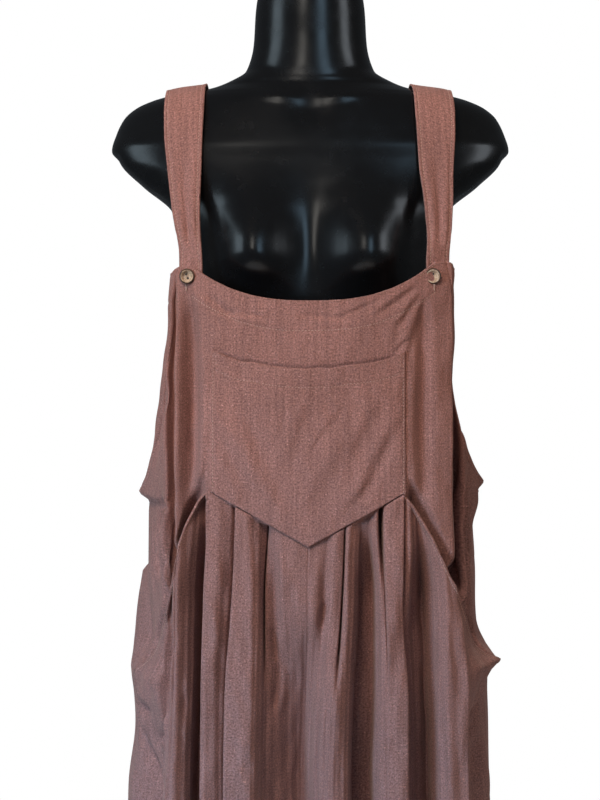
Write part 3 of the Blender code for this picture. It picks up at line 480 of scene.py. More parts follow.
NECK_SIDE_DROP = 0.0055
EDGE_STITCH = 0.0025
FACING = 0.0315
ARMHOLE_FACING = 0.0150
NECK_POWER = 2.6
POCKET_SAG_POWER = 0.7
CREASE_LIP = 0.6
CREASE_LIP_ASIDE = 1.5
CREASE_DEEP = 1.3
WIDE_RIPPLE = 0.0014
FINE_RIPPLE = 0.00035
WAVES = 9
STITCH_PRESS = 0.0004
PUCKER_PRESS = 0.0003
STITCH_PRESS_HALF = 0.0013


def mix(low, high, part):
    return low + (high - low) * part


def ramp(value, rounding):
    """Nought below 0 and value above it, with a round turn between."""
    return 0.5 * (value + np.sqrt(value * value + rounding * rounding))


def crotch(z, facing):
    """Nought above the crotch curve, and 1 from the crotch down, where each leg is a tube."""
    return smooth((CROTCH_TOP_Z[facing] - z) / (CROTCH_TOP_Z[facing] - CROTCH_Z))


def ring(side, place, z, facing):
    """Distance out and depth at a place on the garment's ring at z: the body's above, the leg's below."""
    fold_x, fold_d, back_x, back_d = (read(LEVELS[side], at, z) for at in range(1, 5))
    seam_x, seam_d = (read(SIDE_SEAM[side], at, z) for at in (1, 2))
    front_d = read(MIDDLE, 1, z)
    angle = (1 - place) * math.pi / 2
    if facing == FRONT:
        start = ramp(-CORNER, CORNER_ROUND)
        past = ramp(place - CORNER, CORNER_ROUND) - start
        whole = ramp(1 - CORNER, CORNER_ROUND) - start
        face = (place - past) / (1 - whole)
        x = fold_x * face + (seam_x - fold_x) * past / whole
        d = mix(front_d, fold_d, face ** FACE_POWER[side]) + (seam_d - fold_d) * past / whole
    else:
        across, out = squared_circle(angle, BACK_POWER)
        tuck = np.exp(-((angle / BACK_TUCK) ** 2))
        x = (back_x - (back_x - seam_x) * tuck) * across
        d = mix(seam_d, -back_d, out)
    part = crotch(z, facing)
    across, out = squared_circle(2 * angle, LEG_POWER)
    inseam = mix(CROTCH_CLEAR * part, INSEAM_SPLIT, smooth((CROTCH_Z - z) / INSEAM_RUN))
    leg_x = mix(inseam, seam_x, (1 + across) / 2)
    side_d = seam_d * (1 + across) / 2
    if facing == FRONT:
        leg_d = mix(side_d, front_d, out)
    else:
        leg_x = leg_x + (back_x - seam_x) * np.maximum(0, np.sin(4 * angle)) * smooth(across * 2)
        leg_d = mix(side_d, -back_d, out)
    return mix(x, leg_x, part), mix(d, leg_d, part)


def place_at(side, x, z, facing):
    """The place on a ring at a distance x from the middle, found by halving."""
    x, z = np.broadcast_arrays(x, z)
    low = np.zeros(x.shape)
    high = np.ones(x.shape)
    for _ in range(22):
        half = (low + high) / 2
        short = ring(side, half, z, facing)[0] < x
        low = np.where(short, half, low)
        high = np.where(short, high, half)
    return (low + high) / 2


def hung(side, place, z, facing, inward):
    """Points of the cloth in space, pressed in along the ring's normal."""
    place, z, inward = np.broadcast_arrays(place, z, inward)
    x, d = ring(side, place, z, facing)
    ahead = ring(side, np.minimum(place + RING_STEP, 1), z, facing)
    behind = ring(side, np.maximum(place - RING_STEP, 0), z, facing)
    run_x = ahead[0] - behind[0]
    run_d = ahead[1] - behind[1]
    push = inward * facing / np.hypot(run_x, run_d)
    x = x + push * run_d
    d = d - push * run_x
    lean = read(MIDDLE, 2, z) * np.maximum(0, 1 - x / BIB_HALF_WIDTH) ** 2
    return np.stack((side * x + lean, -d, z), -1)


def creased(creases, x, z):
    """How far a table of creases presses the cloth in, each with a low lip along its upper side."""
    total = np.zeros(np.broadcast(x, z).shape)
    for from_x, from_z, to_x, to_z, width, depth in creases:
        run_x = to_x - from_x
        run_z = to_z - from_z
        length = math.hypot(run_x, run_z)
        along = ((x - from_x) * run_x + (z - from_z) * run_z) / length ** 2
        aside = ((x - from_x) * run_z - (z - from_z) * run_x) / length / width
        fade = smooth(np.minimum(along, 1 - along) * 3)
        lip = CREASE_LIP * np.exp(-((aside - CREASE_LIP_ASIDE) ** 2))
        total += depth * fade * (np.exp(-aside ** 2) - lip)
    return total


def sway(across, down, wave_across, wave_down, seed):
    """An uneven ripple of about -1 to 1, from waves of random heading and length."""
    draw = np.random.default_rng(seed)
    total = np.zeros(np.broadcast(across, down).shape)
    for _ in range(WAVES):
        heading = math.tau / wave_across * draw.uniform(0.4, 1.3) * draw.choice((-1, 1))
        rising = math.tau / wave_down * draw.uniform(0.4, 1.3)
        total += np.sin(heading * across + rising * down + draw.uniform(0, math.tau))
    return total / 4


def leg_top(side, place):
    """Top edge of a front leg: its half of the V seam, then the pocket mouth."""
    end_place, end_z = MOUTH[side][0]
    return np.where(place <= end_place, mix(V_POINT_Z, end_z, place / end_place),
                    read(MOUTH[side], 1, place))


def along_mouth(side, place):
    """How far along the pocket mouth a place is, from 0 at the V seam's end to 1 at the side seam."""
    start = MOUTH[side][0][0]
    return np.clip((place - start) / (1 - start), 0, 1)


def neckline(side, x):
    """Top edge of the bib, with its outer corner rounded off."""
    turn = np.clip((x - NECK_CORNER_X) / NECK_CORNER_ROUND, 0, 0.98)
    rounded = NECK_CORNER_ROUND * (1 - np.sqrt(1 - turn * turn))
    return NECK_DIP_Z + NECK_RISE[side] * np.minimum(x / NECK_HALF_WIDTH, 1.0) ** NECK_POWER - rounded


def pocket_top(x):
    """The bib pocket's mouth, which sags between its corners and is not quite even."""
    across = np.clip((x - POCKET_LEFT_X) / (POCKET_RIGHT_X - POCKET_LEFT_X), 0, 1)
    dents = read(POCKET_DENTS, 1, across)
    return POCKET_CORNER_Z - POCKET_SAG * np.sin(math.pi * across) ** POCKET_SAG_POWER + dents


def bib_inward(side, x, z):
    """Troughs, creases and ripples of the bib at a distance x out."""
    middle, half, deep = (read(BIB_TROUGHS[side], at, z) for at in range(1, 4))
    aside = np.clip((x - middle) / half, -1, 1)
    inward = deep * 0.5 * (1 + np.cos(math.pi * aside))
    inward = inward + CREASE_DEEP * creased(BIB_CREASES, side * x, z)
    above = (z - pocket_top(side * x)) / POCKET_PRESS_HALF
    across = smooth((side * x - POCKET_LEFT_X) / 0.020) * smooth((POCKET_RIGHT_X - side * x) / 0.020)
    inward = inward + POCKET_PRESS * across * np.exp(-above * above)
    calm = smooth((NECK_DIP_Z + 0.0035 - z) / 0.03)
    inward = inward + WIDE_RIPPLE * calm * sway(side * x, z, 0.070, 0.110, 11)
    return inward + FINE_RIPPLE * sway(side * x, z, 0.022, 0.040, 12)


def on_bib(x, z, proud):
    """Points of the bib at x across the front, moved out by proud."""
    x, z, proud = np.broadcast_arrays(x, z, proud)
    sides = []
    for side in (LEFT, RIGHT):
        out = np.maximum(side * x, 0)
        sides.append(hung(side, place_at(side, out, z, FRONT), z, FRONT, bib_inward(side, out, z) - proud))
    return np.where((x < 0)[..., None], *sides)


def steps_between(stops, step):
    """Evenly spaced values from stop to stop, each stop kept."""
    values = [stops[0]]
    for low, high in zip(stops, stops[1:]):
        count = max(1, round(abs(high - low) / step))
        values += [mix(low, high, (at + 1) / count) for at in range(count)]
    return np.array(values)


def lengths_over(points):
    """The cloth's own lengths across and down at each point of a grid, in metres."""
    across = np.linalg.norm(np.diff(points, axis=1), axis=2)
    across = np.concatenate((np.zeros((len(points), 1)), np.cumsum(across, axis=1)), axis=1)
    across = np.broadcast_to(across.mean(axis=0), across.shape)
    return np.stack((across, points[..., 2]), -1)


def normals_over(points):
    """The outward normal at each point of a grid."""
    across = np.gradient(points, axis=1)
    down = np.gradient(points, axis=0)
    normal = np.cross(down, across)
    return normal / np.maximum(np.linalg.norm(normal, axis=-1, keepdims=True), 1e-9)


def from_edge(points, axis):
    """Distance of each point of a grid from its first row or column, along the cloth."""
    steps = np.linalg.norm(np.diff(points, axis=axis), axis=2)
    pad = [(1, 0), (0, 0)] if axis == 0 else [(0, 0), (1, 0)]
    return np.pad(np.cumsum(steps, axis=axis), pad)


def sunk(points, normals, distance, lines, strength=1.0):
    """Points pressed in along rows of stitching, each a distance from an edge, with small puckers."""
    along = from_edge(points, 1) + from_edge(points, 0)
    pucker = 0.5 + 0.5 * sway(along, along * 0.3, 0.012, 0.020, 5)
    press = strength * (STITCH_PRESS + PUCKER_PRESS * pucker)
    deep = np.zeros(distance.shape)
    for line in lines:
        deep += press * np.exp(-((distance - line) / STITCH_PRESS_HALF) ** 2)
    return points - normals * deep[..., None]


def row_at(distance, wanted):
    """For each column of a grid, the fractional row where the distance down it first reaches wanted."""
    return np.array([np.interp(wanted, column, np.arange(len(column))) for column in distance.T])


def picked(points, rows, columns):
    """Points of a grid at fractional rows and columns."""
    rows = np.clip(rows, 0, points.shape[0] - 1)
    columns = np.clip(columns, 0, points.shape[1] - 1)
    row = np.minimum(rows.astype(int), points.shape[0] - 2)
    column = np.minimum(columns.astype(int), points.shape[1] - 2)
    down = (rows - row)[:, None]
    over = (columns - column)[:, None]
    upper = mix(points[row, column], points[row, column + 1], over)
    lower = mix(points[row + 1, column], points[row + 1, column + 1], over)
    return mix(upper, lower, down)


def run_along(points, normals, rows, columns):
    """Points of a grid and the normals there, for a row of stitches."""
    columns = np.asarray(columns, dtype=float)
    return picked(points, rows, columns), picked(normals, rows, columns)


def inset_columns(points, rows, inset, mirrored):
    """For each row, the fractional column an inset from the grid's first edge, or from its last."""
    span = from_edge(points[:, ::-1] if mirrored else points, 1)
    columns = np.array([np.interp(inset, span[int(at)], np.arange(points.shape[1])) for at in rows])
    return points.shape[1] - 1 - columns if mirrored else columns


LINEN_HUE = (0.262, 0.126, 0.108)


def linen():
    """Plain-woven linen: uneven threads both ways, pale slubs and flecks, a patchy bloom, and painted light,
    the hue turning cooler and bluer lower down where the cool window light falls more than the warm room light.
    """
    hue = LINEN_HUE
    made, tree = material("linen")
    cloth = add(tree, "ShaderNodeUVMap", uv_map="cloth").outputs[0]
    place = add(tree, "ShaderNodeTexCoord").outputs["Object"]

    def threads(scale, detail=2.0):
        spread = add(tree, "ShaderNodeMapping", {"Vector": cloth, "Scale": (*scale, 1)})
        return add(tree, "ShaderNodeTexNoise", {"Vector": spread.outputs[0], "Scale": 1.0, "Detail": detail,
                                                "Roughness": 0.6}).outputs[0]

    def blend(kind, factor, low, high):
        return add(tree, "ShaderNodeMix", {0: factor, 6: low, 7: high}, data_type="RGBA",
                   blend_type=kind, clamp_factor=True).outputs[2]

    def spread_of(value, low, high, bottom, top):
        return add(tree, "ShaderNodeMapRange", {"Value": value, "From Min": low, "From Max": high,
                                                "To Min": bottom, "To Max": top}).outputs[0]

    def sum_of(kind, one, other):
        return add(tree, "ShaderNodeMath", {0: one, 1: other}, operation=kind).outputs[0]

    weft = threads((55, 1150))
    warp = threads((1150, 45))
    grain = threads((560, 520), 3.0)
    streak = threads((300, 9), 1.0)
    slub = threads((38, 620), 1.0)
    fleck = threads((330, 430), 1.0)
    bloom = add(tree, "ShaderNodeTexNoise", {"Vector": place, "Scale": 9.0, "Detail": 3.0}).outputs[0]
    stretched = add(tree, "ShaderNodeMapping", {"Vector": place, "Scale": (1.0, 1.0, 0.45)}).outputs[0]
    crumple = add(tree, "ShaderNodeTexNoise", {"Vector": stretched, "Scale": 75.0, "Detail": 5.0}).outputs[0]
    height = add(tree, "ShaderNodeSeparateXYZ", {"Vector": place}).outputs[2]
    # Painted light: from 1.10 m down to 0.72 m the hue turns cooler and bluer, standing in for the cool window
    # light that falls on the legs more than the warm room light.
    lower = spread_of(height, 1.10, 0.72, 0.0, 1.0)
    colour = blend("MIX", lower, (*hue, 1), (hue[0] * 0.86, hue[1] * 1.05, hue[2] * 1.24, 1))
    pale = tuple(min(1.0, tone * 1.55 + 0.03) for tone in hue)
    deep = tuple(tone * 0.60 for tone in hue)
    colour = blend("MIX", spread_of(weft, 0.35, 0.75, 0.0, 0.26), colour, (*pale, 1))
    colour = blend("MIX", spread_of(warp, 0.62, 0.28, 0.0, 0.36), colour, (*deep, 1))
    colour = blend("MIX", spread_of(slub, 0.62, 0.80, 0.0, 0.30), colour, (*pale, 1))
    colour = blend("MIX", spread_of(fleck, 0.67, 0.74, 0.0, 0.60), colour,
                   (*(min(1.0, tone * 2.0 + 0.06) for tone in hue), 1))
    for pattern, least, most in ((grain, 0.50, 1.52), (streak, 0.88, 1.12), (bloom, 0.93, 1.07)):
        tone = spread_of(pattern, 0.3, 0.7, least, most)
        tones = add(tree, "ShaderNodeCombineColor", {at: tone for at in range(3)}).outputs[0]
        colour = blend("MULTIPLY", 1.0, colour, tones)
    woven = sum_of("ADD", weft, sum_of("ADD", warp, slub))
    soft = add(tree, "ShaderNodeBump", {"Height": crumple, "Strength": 0.8, "Distance": 0.0030})
    bump = add(tree, "ShaderNodeBump", {"Height": woven, "Strength": 0.5, "Distance": 0.0005,
                                        "Normal": soft.outputs[0]})
    surface(tree, Base_Color=colour, Roughness=0.88, Specular_IOR_Level=0.22, Sheen_Weight=0.12,
            Sheen_Roughness=0.45, Sheen_Tint=(1.0, 0.82, 0.76, 1), Normal=bump.outputs[0])
    return made


def thread_material():
    made, tree = material("tan_thread")
    place = add(tree, "ShaderNodeTexCoord").outputs["Object"]
    twist = add(tree, "ShaderNodeTexNoise", {"Vector": place, "Scale": 900.0, "Detail": 1.0})
    tone = add(tree, "ShaderNodeValToRGB", {"Fac": twist.outputs[0]})
    tone.color_ramp.elements[0].color = (0.36, 0.21, 0.165, 1)
    tone.color_ramp.elements[1].color = (0.58, 0.39, 0.32, 1)
    surface(tree, Base_Color=tone.outputs[0], Roughness=0.7, Sheen_Weight=0.2)
    return made


def dress(piece, finish, thick, hem=None, order=None, hem_thick=HEM_CLOTH):
    """The cloth's wall, thicker over its turned hems, and its finish."""
    piece.data.shade_smooth()
    piece.data.materials.append(finish)
    wall = piece.modifiers.new("wall", "SOLIDIFY")
    wall.offset = 0
    wall.thickness = thick
    if hem is not None:
        group = piece.vertex_groups.new(name="hem")
        turned_in = hem.ravel()[order]
        group.add([int(at) for at in np.nonzero(turned_in)[0]], 1.0, "REPLACE")
        wall.thickness = hem_thick
        wall.vertex_group = "hem"
        wall.thickness_vertex_group = thick / hem_thick
    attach(piece, "root")


def stitched(name, runs, raised=0.0, length=0.0026, pitch=0.0034, thick=0.00030):
    """Rows of stitches as one piece, from runs of points along the cloth and the normals there."""
    bm = bmesh.new()
    for points, normals in runs:
        points = points + normals * raised
        steps = np.linalg.norm(np.diff(points, axis=0), axis=1)
        reach = np.concatenate(((0.0,), np.cumsum(steps)))
        for middle in np.arange(pitch, reach[-1] - pitch / 2, pitch):
            ends = np.array([[np.interp(middle + side * length / 2, reach, points[:, axis])
                              for axis in range(3)] for side in (-1, 1)])
            normal = np.array([np.interp(middle, reach, normals[:, axis]) for axis in range(3)])
            along = ends[1] - ends[0]
            along /= max(np.linalg.norm(along), 1e-9)
            normal -= along * normal.dot(along)
            normal /= max(np.linalg.norm(normal), 1e-9)
            aside = np.cross(normal, along)
            centre = ends.mean(axis=0) + normal * thick * 0.5
            turn = np.stack((along * length / 2, aside * thick * 1.25, normal * thick), 1)
            place = Matrix(turn.tolist()).to_4x4()
            place.translation = Vector(centre)
            bmesh.ops.create_icosphere(bm, subdivisions=1, radius=1.0, matrix=place)
    piece = placed(name, bm)
    piece.data.shade_smooth()
    piece.data.materials.append(thread)
    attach(piece, "root")
    return piece


thread = thread_material()
linen_cloth = linen()

NEAR_CORNER = 0.03
BIB_PLACES = {side: np.concatenate((
    steps_between((0, MOUTH[side][0][0], CORNER - NEAR_CORNER), 0.0080),
    steps_between((CORNER - NEAR_CORNER, CORNER, CORNER + NEAR_CORNER), 0.0040)[1:],
    steps_between((CORNER + NEAR_CORNER, 1.0), 0.0080)[1:])) for side in (LEFT, RIGHT)}
bib_columns = [(LEFT, place) for place in BIB_PLACES[LEFT][:0:-1]]
bib_columns += [(RIGHT, place) for place in BIB_PLACES[RIGHT]]
BIB_DOWNS = np.concatenate((steps_between((0, 0.06, 0.965), 0.0067), steps_between((0.965, 1.0), 0.0030)[1:]))
V_STITCH = 0.0028
ARMHOLE_PRESS = 3.5
V_PRESS = 1.5
STITCHED_FACE = 0.50


def bib_bottom(side, place):
    """Lower edge of the bib: the V seam, then tucked in behind the pocket mouth."""
    part = along_mouth(side, place)
    tucked = smooth((part - 0.03) / 0.10) * smooth((0.93 - part) / 0.08)
    return leg_top(side, place) - MOUTH_TUCK * tucked


def bib_column(side, place):
    """One column of the bib, from the neckline or armhole down to its lower edge."""
    top = neckline(side, BIB_HALF_WIDTH * min(place, CORNER) / CORNER)
    top = top - NECK_SIDE_DROP * smooth((place - CORNER) / (1 - CORNER))
    z = mix(top, bib_bottom(side, place), BIB_DOWNS)
    spot = np.full(len(z), place)
    if place > CORNER:
        reach = read(FRONT_ARMHOLE[side], 1, z) * (1 - CORNER)
        spot = CORNER + reach * (place - CORNER) / (1 - CORNER)
    x = ring(side, spot, z, FRONT)[0]
    along = np.clip(spot * HALF_RING, 0, HALF_RING)
    seamed = smooth((1 - spot) / 0.06)
    inward = bib_inward(side, x, z) * seamed
    inward = inward + creased(SIDE_CREASES[side], along, z) * smooth((spot - CORNER) / 0.02) * seamed
    above = z - leg_top(side, place)
    if place <= MOUTH[side][0][0]:
        inward = inward + 0.0003 * smooth((0.0015 - above) / 0.0015)
    else:
        behind = smooth(along_mouth(side, place) / 0.08) * smooth((0.97 - along_mouth(side, place)) / 0.08)
        inward = inward + MOUTH_TUCK_DEEP * behind * smooth((MOUTH_TUCK_HIGH - above) / MOUTH_TUCK_HIGH)
    points = hung(side, spot, z, FRONT, inward)
    deep, deepest, ends = (read(FOLD_BACK[side], at, z) for at in range(1, 4))
    past = along - CORNER * HALF_RING
    points[:, 1] += deep * smooth(past / deepest) * smooth((ends - past) / (ends - deepest)) * seamed
    return points


bib_grid = np.stack([bib_column(side, place) for side, place in bib_columns], 1)
bib_normals = normals_over(bib_grid)
below_neck = from_edge(bib_grid, 0)
from_left = from_edge(bib_grid, 1)
from_right = from_edge(bib_grid[:, ::-1], 1)[:, ::-1]
left_open = bib_grid[:, 0, 2] > FRONT_ARMHOLE[LEFT][0][0]
right_open = bib_grid[:, -1, 2] > FRONT_ARMHOLE[RIGHT][0][0]
bib_grid = sunk(bib_grid, bib_normals, below_neck, (EDGE_STITCH, FACING))
for distance, is_open in ((from_left, left_open), (from_right, right_open)):
    pressed = sunk(bib_grid, bib_normals, distance, (ARMHOLE_FACING,), ARMHOLE_PRESS)
    bib_grid = np.where(is_open[:, None, None], pressed, bib_grid)
above_seam = from_edge(bib_grid[::-1], 0)[::-1]
v_seamed = np.array([place <= MOUTH[side][0][0] for side, place in bib_columns])
pressed = sunk(bib_grid, bib_normals, above_seam, (V_STITCH,), V_PRESS)
bib_grid = np.where(v_seamed[None, :, None], pressed, bib_grid)
bib, bib_order = laid("bib_front_linen", bib_grid, lengths_over(bib_grid))
bib_hem = below_neck < EDGE_STITCH + 0.0010
for distance, is_open in ((from_left, left_open), (from_right, right_open)):
    bib_hem |= is_open[:, None] & (distance < ARMHOLE_FACING + 0.0015)
dress(bib, linen_cloth, CLOTH, bib_hem, bib_order)

face_columns = np.array([at for at, (side, place) in enumerate(bib_columns) if place <= STITCHED_FACE])
bib_lines = []
for below in (EDGE_STITCH, FACING):
    bib_lines.append(run_along(bib_grid, bib_normals, row_at(below_neck, below)[face_columns], face_columns))
for distance, is_open in ((from_left, left_open), (from_right[:, ::-1], right_open)):
    rows = np.nonzero(is_open)[0][2:-1].astype(float)
    columns = np.array([np.interp(ARMHOLE_FACING, distance[int(at)], np.arange(len(bib_columns)))
                        for at in rows])
    if distance is not from_left:
        columns = len(bib_columns) - 1 - columns
    bib_lines.append(run_along(bib_grid, bib_normals, rows, columns))
v_places = np.concatenate((-np.linspace(MOUTH[LEFT][0][0], 0, 60),
                           np.linspace(0, MOUTH[RIGHT][0][0], 60)[1:]))
v_x = np.array([np.sign(place) * ring(LEFT if place < 0 else RIGHT, abs(place), 0.96, FRONT)[0]
                for place in v_places])
v_z = np.array([leg_top(LEFT if place < 0 else RIGHT, abs(place)) for place in v_places])
v_points = on_bib(v_x, v_z + V_STITCH, -0.0006)
bib_lines.append((v_points, np.tile((0.0, -1.0, 0.0), (len(v_points), 1))))
bib_stitches = stitched("bib_front_stitches", bib_lines, HEM_CLOTH / 2 * 0.6)
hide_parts("bib_front")


# ---------------------------------------------------------------- bib pocket
# A patch pocket of the same linen, its top turned down in a wide hem, topstitched down both sides and
# caught in the V seam at its foot.
POCKET_GAPE = 0.0030
POCKET_HEM = 0.0195
POCKET_HEM_CLOTH = 0.0017
POCKET_OFF_SEAM = 0.0012
POCKET_TACK = 0.0062
POCKET_COLUMNS = 130
POCKET_ROWS = 130


def pocket_points(columns, rows):
    across = np.linspace(0, 1, columns)[None, :]
    down = np.linspace(0, 1, rows)[:, None]
    x = mix(POCKET_LEFT_X, POCKET_RIGHT_X, across)
    top = pocket_top(x)
    foot = np.where(x < 0, leg_top(LEFT, place_at(LEFT, np.maximum(-x, 0), V_POINT_Z, FRONT)),
                    leg_top(RIGHT, place_at(RIGHT, np.maximum(x, 0), V_POINT_Z, FRONT))) + POCKET_OFF_SEAM
    z = mix(top, foot, down)
    gape = POCKET_GAPE * np.sin(math.pi * across) * (1 - down) ** 2
    ripple = 0.0008 * smooth(1 - down * 6) * sway(x, z, 0.034, 0.060, 71)
    inner = smooth(across * 16) * smooth((1 - across) * 16)
    pressed = (z - top) / POCKET_PRESS_HALF
    proud = CLOTH + 0.0007 + gape + (0.0006 + ripple + POCKET_PRESS * np.exp(-pressed * pressed)) * inner
    return on_bib(np.broadcast_to(x, z.shape), z, proud)


pocket_grid = pocket_points(POCKET_COLUMNS, POCKET_ROWS)
pocket_normals = normals_over(pocket_grid)
pocket_down = from_edge(pocket_grid, 0)
pocket_in = np.minimum(from_edge(pocket_grid, 1), from_edge(pocket_grid[:, ::-1], 1)[:, ::-1])
pocket_grid = sunk(pocket_grid, pocket_normals, pocket_down, (POCKET_HEM,))
pocket_grid = sunk(pocket_grid, pocket_normals, pocket_in, (EDGE_STITCH,))
pocket, pocket_order = laid("bib_pocket_linen", pocket_grid, lengths_over(pocket_grid))
dress(pocket, linen_cloth, CLOTH, pocket_down < POCKET_HEM + 0.001, pocket_order, POCKET_HEM_CLOTH)
inner_columns = np.arange(2, POCKET_COLUMNS - 2)
pocket_lines = [run_along(pocket_grid, pocket_normals, row_at(pocket_down, POCKET_HEM)[2:-2], inner_columns)]
middle_row = from_edge(pocket_grid, 1)[60]
for inset, last_row in ((EDGE_STITCH, POCKET_ROWS - 1), (POCKET_TACK, 14)):
    rows = np.linspace(1, last_row, 120)
    column = np.interp(inset, middle_row, np.arange(POCKET_COLUMNS))
    for stitch_column in (column, POCKET_COLUMNS - 1 - column):
        pocket_lines.append(run_along(pocket_grid, pocket_normals, rows, np.full(len(rows), stitch_column)))
pocket_stitches = stitched("bib_pocket_stitches", pocket_lines, CLOTH / 2)
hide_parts("bib_pocket")


# ---------------------------------------------------------------- front legs
# Two wide front legs, gathered in uneven pleats under the V seam. The outer top edge of each is the curved
# mouth of a side pocket, topstitched, and it stands away from the side of the bib behind it.
HEM_STITCH = 0.020
HEM_TURNING = 0.022
MOUTH_STITCH = 0.0065
MOUTH_TURNING = 0.0075
MOUTH_STARTS_X = {LEFT: 0.104, RIGHT: 0.0955}
LEG_WIDE_RIPPLE = 0.0027
LEG_FINE_RIPPLE = 0.0009
INNER_PLEATS = 0.20
INNER_FADE = 0.16
STRAIGHT_FROM_Z = CROTCH_TOP_Z[FRONT] + 0.040
STRAIGHT_FADE = 0.055
CALM_INSEAM = 0.22
FOLD_TURN = 0.004
FOLD_ENDS = 0.040
LEAST_APART = 0.005
SIDE_PLACES = (CORNER + 0.005, CORNER + 0.020, CORNER + 0.050, 0.68, 0.76, 0.84, 0.92, 1)
LAST_FOLD_PLACE = 0.52
FOLD_HEIGHTS = np.array((0.100, 0.671, 0.773, 0.876, 0.955))
MIDDLE_FOLD = np.column_stack((FOLD_HEIGHTS, (0, 58, 42, 2, 1.3)))
LEG_LINES = {
    # distance out at the five heights, then depth in at the five heights, in mm
    LEFT: np.array((
        (0.0150, 0.0014, 0.0014, 0.0014, 0.0014, 22, 58, 42, 2, 0),
        (0.0180, 0.0055, 0.0060, 0.0100, 0.0115, 22, 56, 41, 1, -1),
        (0.0230, 0.0160, 0.0170, 0.0250, 0.0280, 21, 49, 37, 4, -1),
        (0.0320, 0.0320, 0.0330, 0.0370, 0.0390, 20, 38, 30, 22, 1),
        (0.0390, 0.0430, 0.0440, 0.0462, 0.0418, 18, 28, 24, 19, 11),
        (0.0430, 0.0470, 0.0475, 0.0485, 0.0436, 16, 23, 20, 38, 22),
        (0.0480, 0.0510, 0.0505, 0.0500, 0.0455, 8, 13, 11, 16, 13),
        (0.0540, 0.0565, 0.0560, 0.0540, 0.0565, 1, 0, 0, 3, 4),
        (0.0600, 0.0610, 0.0600, 0.0600, 0.0650, -3, -3, -4, -4, -3),
        (0.0740, 0.0860, 0.0840, 0.0780, 0.0740, -1, -1, -1, -3, -2),
        (0.0770, 0.0895, 0.0880, 0.0808, 0.0775, 0, 0, 0, -1, -1),
        (0.0765, 0.0885, 0.0870, 0.0800, 0.0768, 18, 14, 15, 20, 12),
        (0.0840, 0.0935, 0.0930, 0.0870, 0.0840, 8, 6, 7, 9, 3),
        (0.0940, 0.1010, 0.1015, 0.0990, 0.0960, -1, 0, -1, -1, -1),
        (0.1060, 0.1100, 0.1090, 0.1080, 0.1080, -2, -2, -2, -2, -1),
        (0.1120, 0.1147, 0.1134, 0.1112, 0.1068, 0, 0, 0, 0, 0),
        (0.1112, 0.1137, 0.1124, 0.1102, 0.1060, 38, 54, 54, 48, 18),
        (0.1210, 0.1265, 0.1250, 0.1240, 0.1130, 38, 58, 60, 50, 18),
        (0.1235, 0.1285, 0.1270, 0.1264, 0.1190, 14, 17, 17, 15, 10),
        (0.1290, 0.1335, 0.1315, 0.1305, 0.1260, 6, 7, 7, 6, 4),
        (0.1400, 0.1430, 0.1400, 0.1380, 0.1345, -3, -3, -3, -3, -1),
    )),
    RIGHT: np.array((
        (0.0150, 0.0014, 0.0014, 0.0014, 0.0014, 20, 58, 42, 2, 0),
        (0.0180, 0.0060, 0.0060, 0.0090, 0.0100, 18, 45, 30, 2, 1),
        (0.0210, 0.0125, 0.0130, 0.0160, 0.0195, 8, 22, 15, 7, 2),
        (0.0260, 0.0195, 0.0200, 0.0260, 0.0280, 0, 6, 4, -3, -2),
        (0.0310, 0.0250, 0.0265, 0.0330, 0.0350, -3, -1, -2, 0, 0),
        (0.0340, 0.0285, 0.0300, 0.0352, 0.0370, -3, -3, -3, 26, 24),
        (0.0370, 0.0310, 0.0330, 0.0364, 0.0383, -2, -2, -2, 1, 0),
        (0.0410, 0.0375, 0.0375, 0.0390, 0.0405, 1, 2, 2, -2, -2),
        (0.0450, 0.0420, 0.0420, 0.0450, 0.0455, 6, 8, 8, 6, 3),
        (0.0500, 0.0450, 0.0460, 0.0500, 0.0500, 14, 17, 18, 17, 5),
        (0.0540, 0.0475, 0.0492, 0.0540, 0.0540, 34, 50, 41, 40, 6),
        (0.0680, 0.0660, 0.0688, 0.0690, 0.0600, 38, 58, 45, 44, 6),
        (0.0730, 0.0700, 0.0715, 0.0704, 0.0640, 14, 18, 17, 14, 4),
        (0.0775, 0.0750, 0.0760, 0.0735, 0.0685, 4, 5, 5, 3, 0),
        (0.0810, 0.0785, 0.0790, 0.0765, 0.0740, 1, 1, 1, 2, 22),
        (0.0835, 0.0805, 0.0807, 0.0778, 0.0754, 0, 0, 0, 6, 27),
        (0.0850, 0.0830, 0.0828, 0.0788, 0.0763, -2, -2, -2, -2, 0),
        (0.0930, 0.0920, 0.0920, 0.0870, 0.0870, -3, -3, -3, -3, -2),
        (0.1010, 0.1008, 0.1005, 0.0942, 0.0958, -1, -1, -1, -1, -1),
        (0.1025, 0.1030, 0.1030, 0.0958, 0.0968, 8, 17, 17, 8, 6),
        (0.1080, 0.1085, 0.1085, 0.1020, 0.1020, 14, 26, 26, 8, 2),
        (0.1130, 0.1145, 0.1145, 0.1100, 0.1090, 20, 36, 34, 22, 9),
        (0.1220, 0.1295, 0.1285, 0.1278, 0.1150, 30, 52, 50, 44, 14),
        (0.1265, 0.1330, 0.1322, 0.1312, 0.1210, 20, 30, 28, 24, 8),
        (0.1320, 0.1368, 0.1350, 0.1338, 0.1245, 6, 8, 8, 7, 0),
        (0.1400, 0.1440, 0.1415, 0.1390, 0.1330, -4, -4, -4, -3, -1),
    )),
}
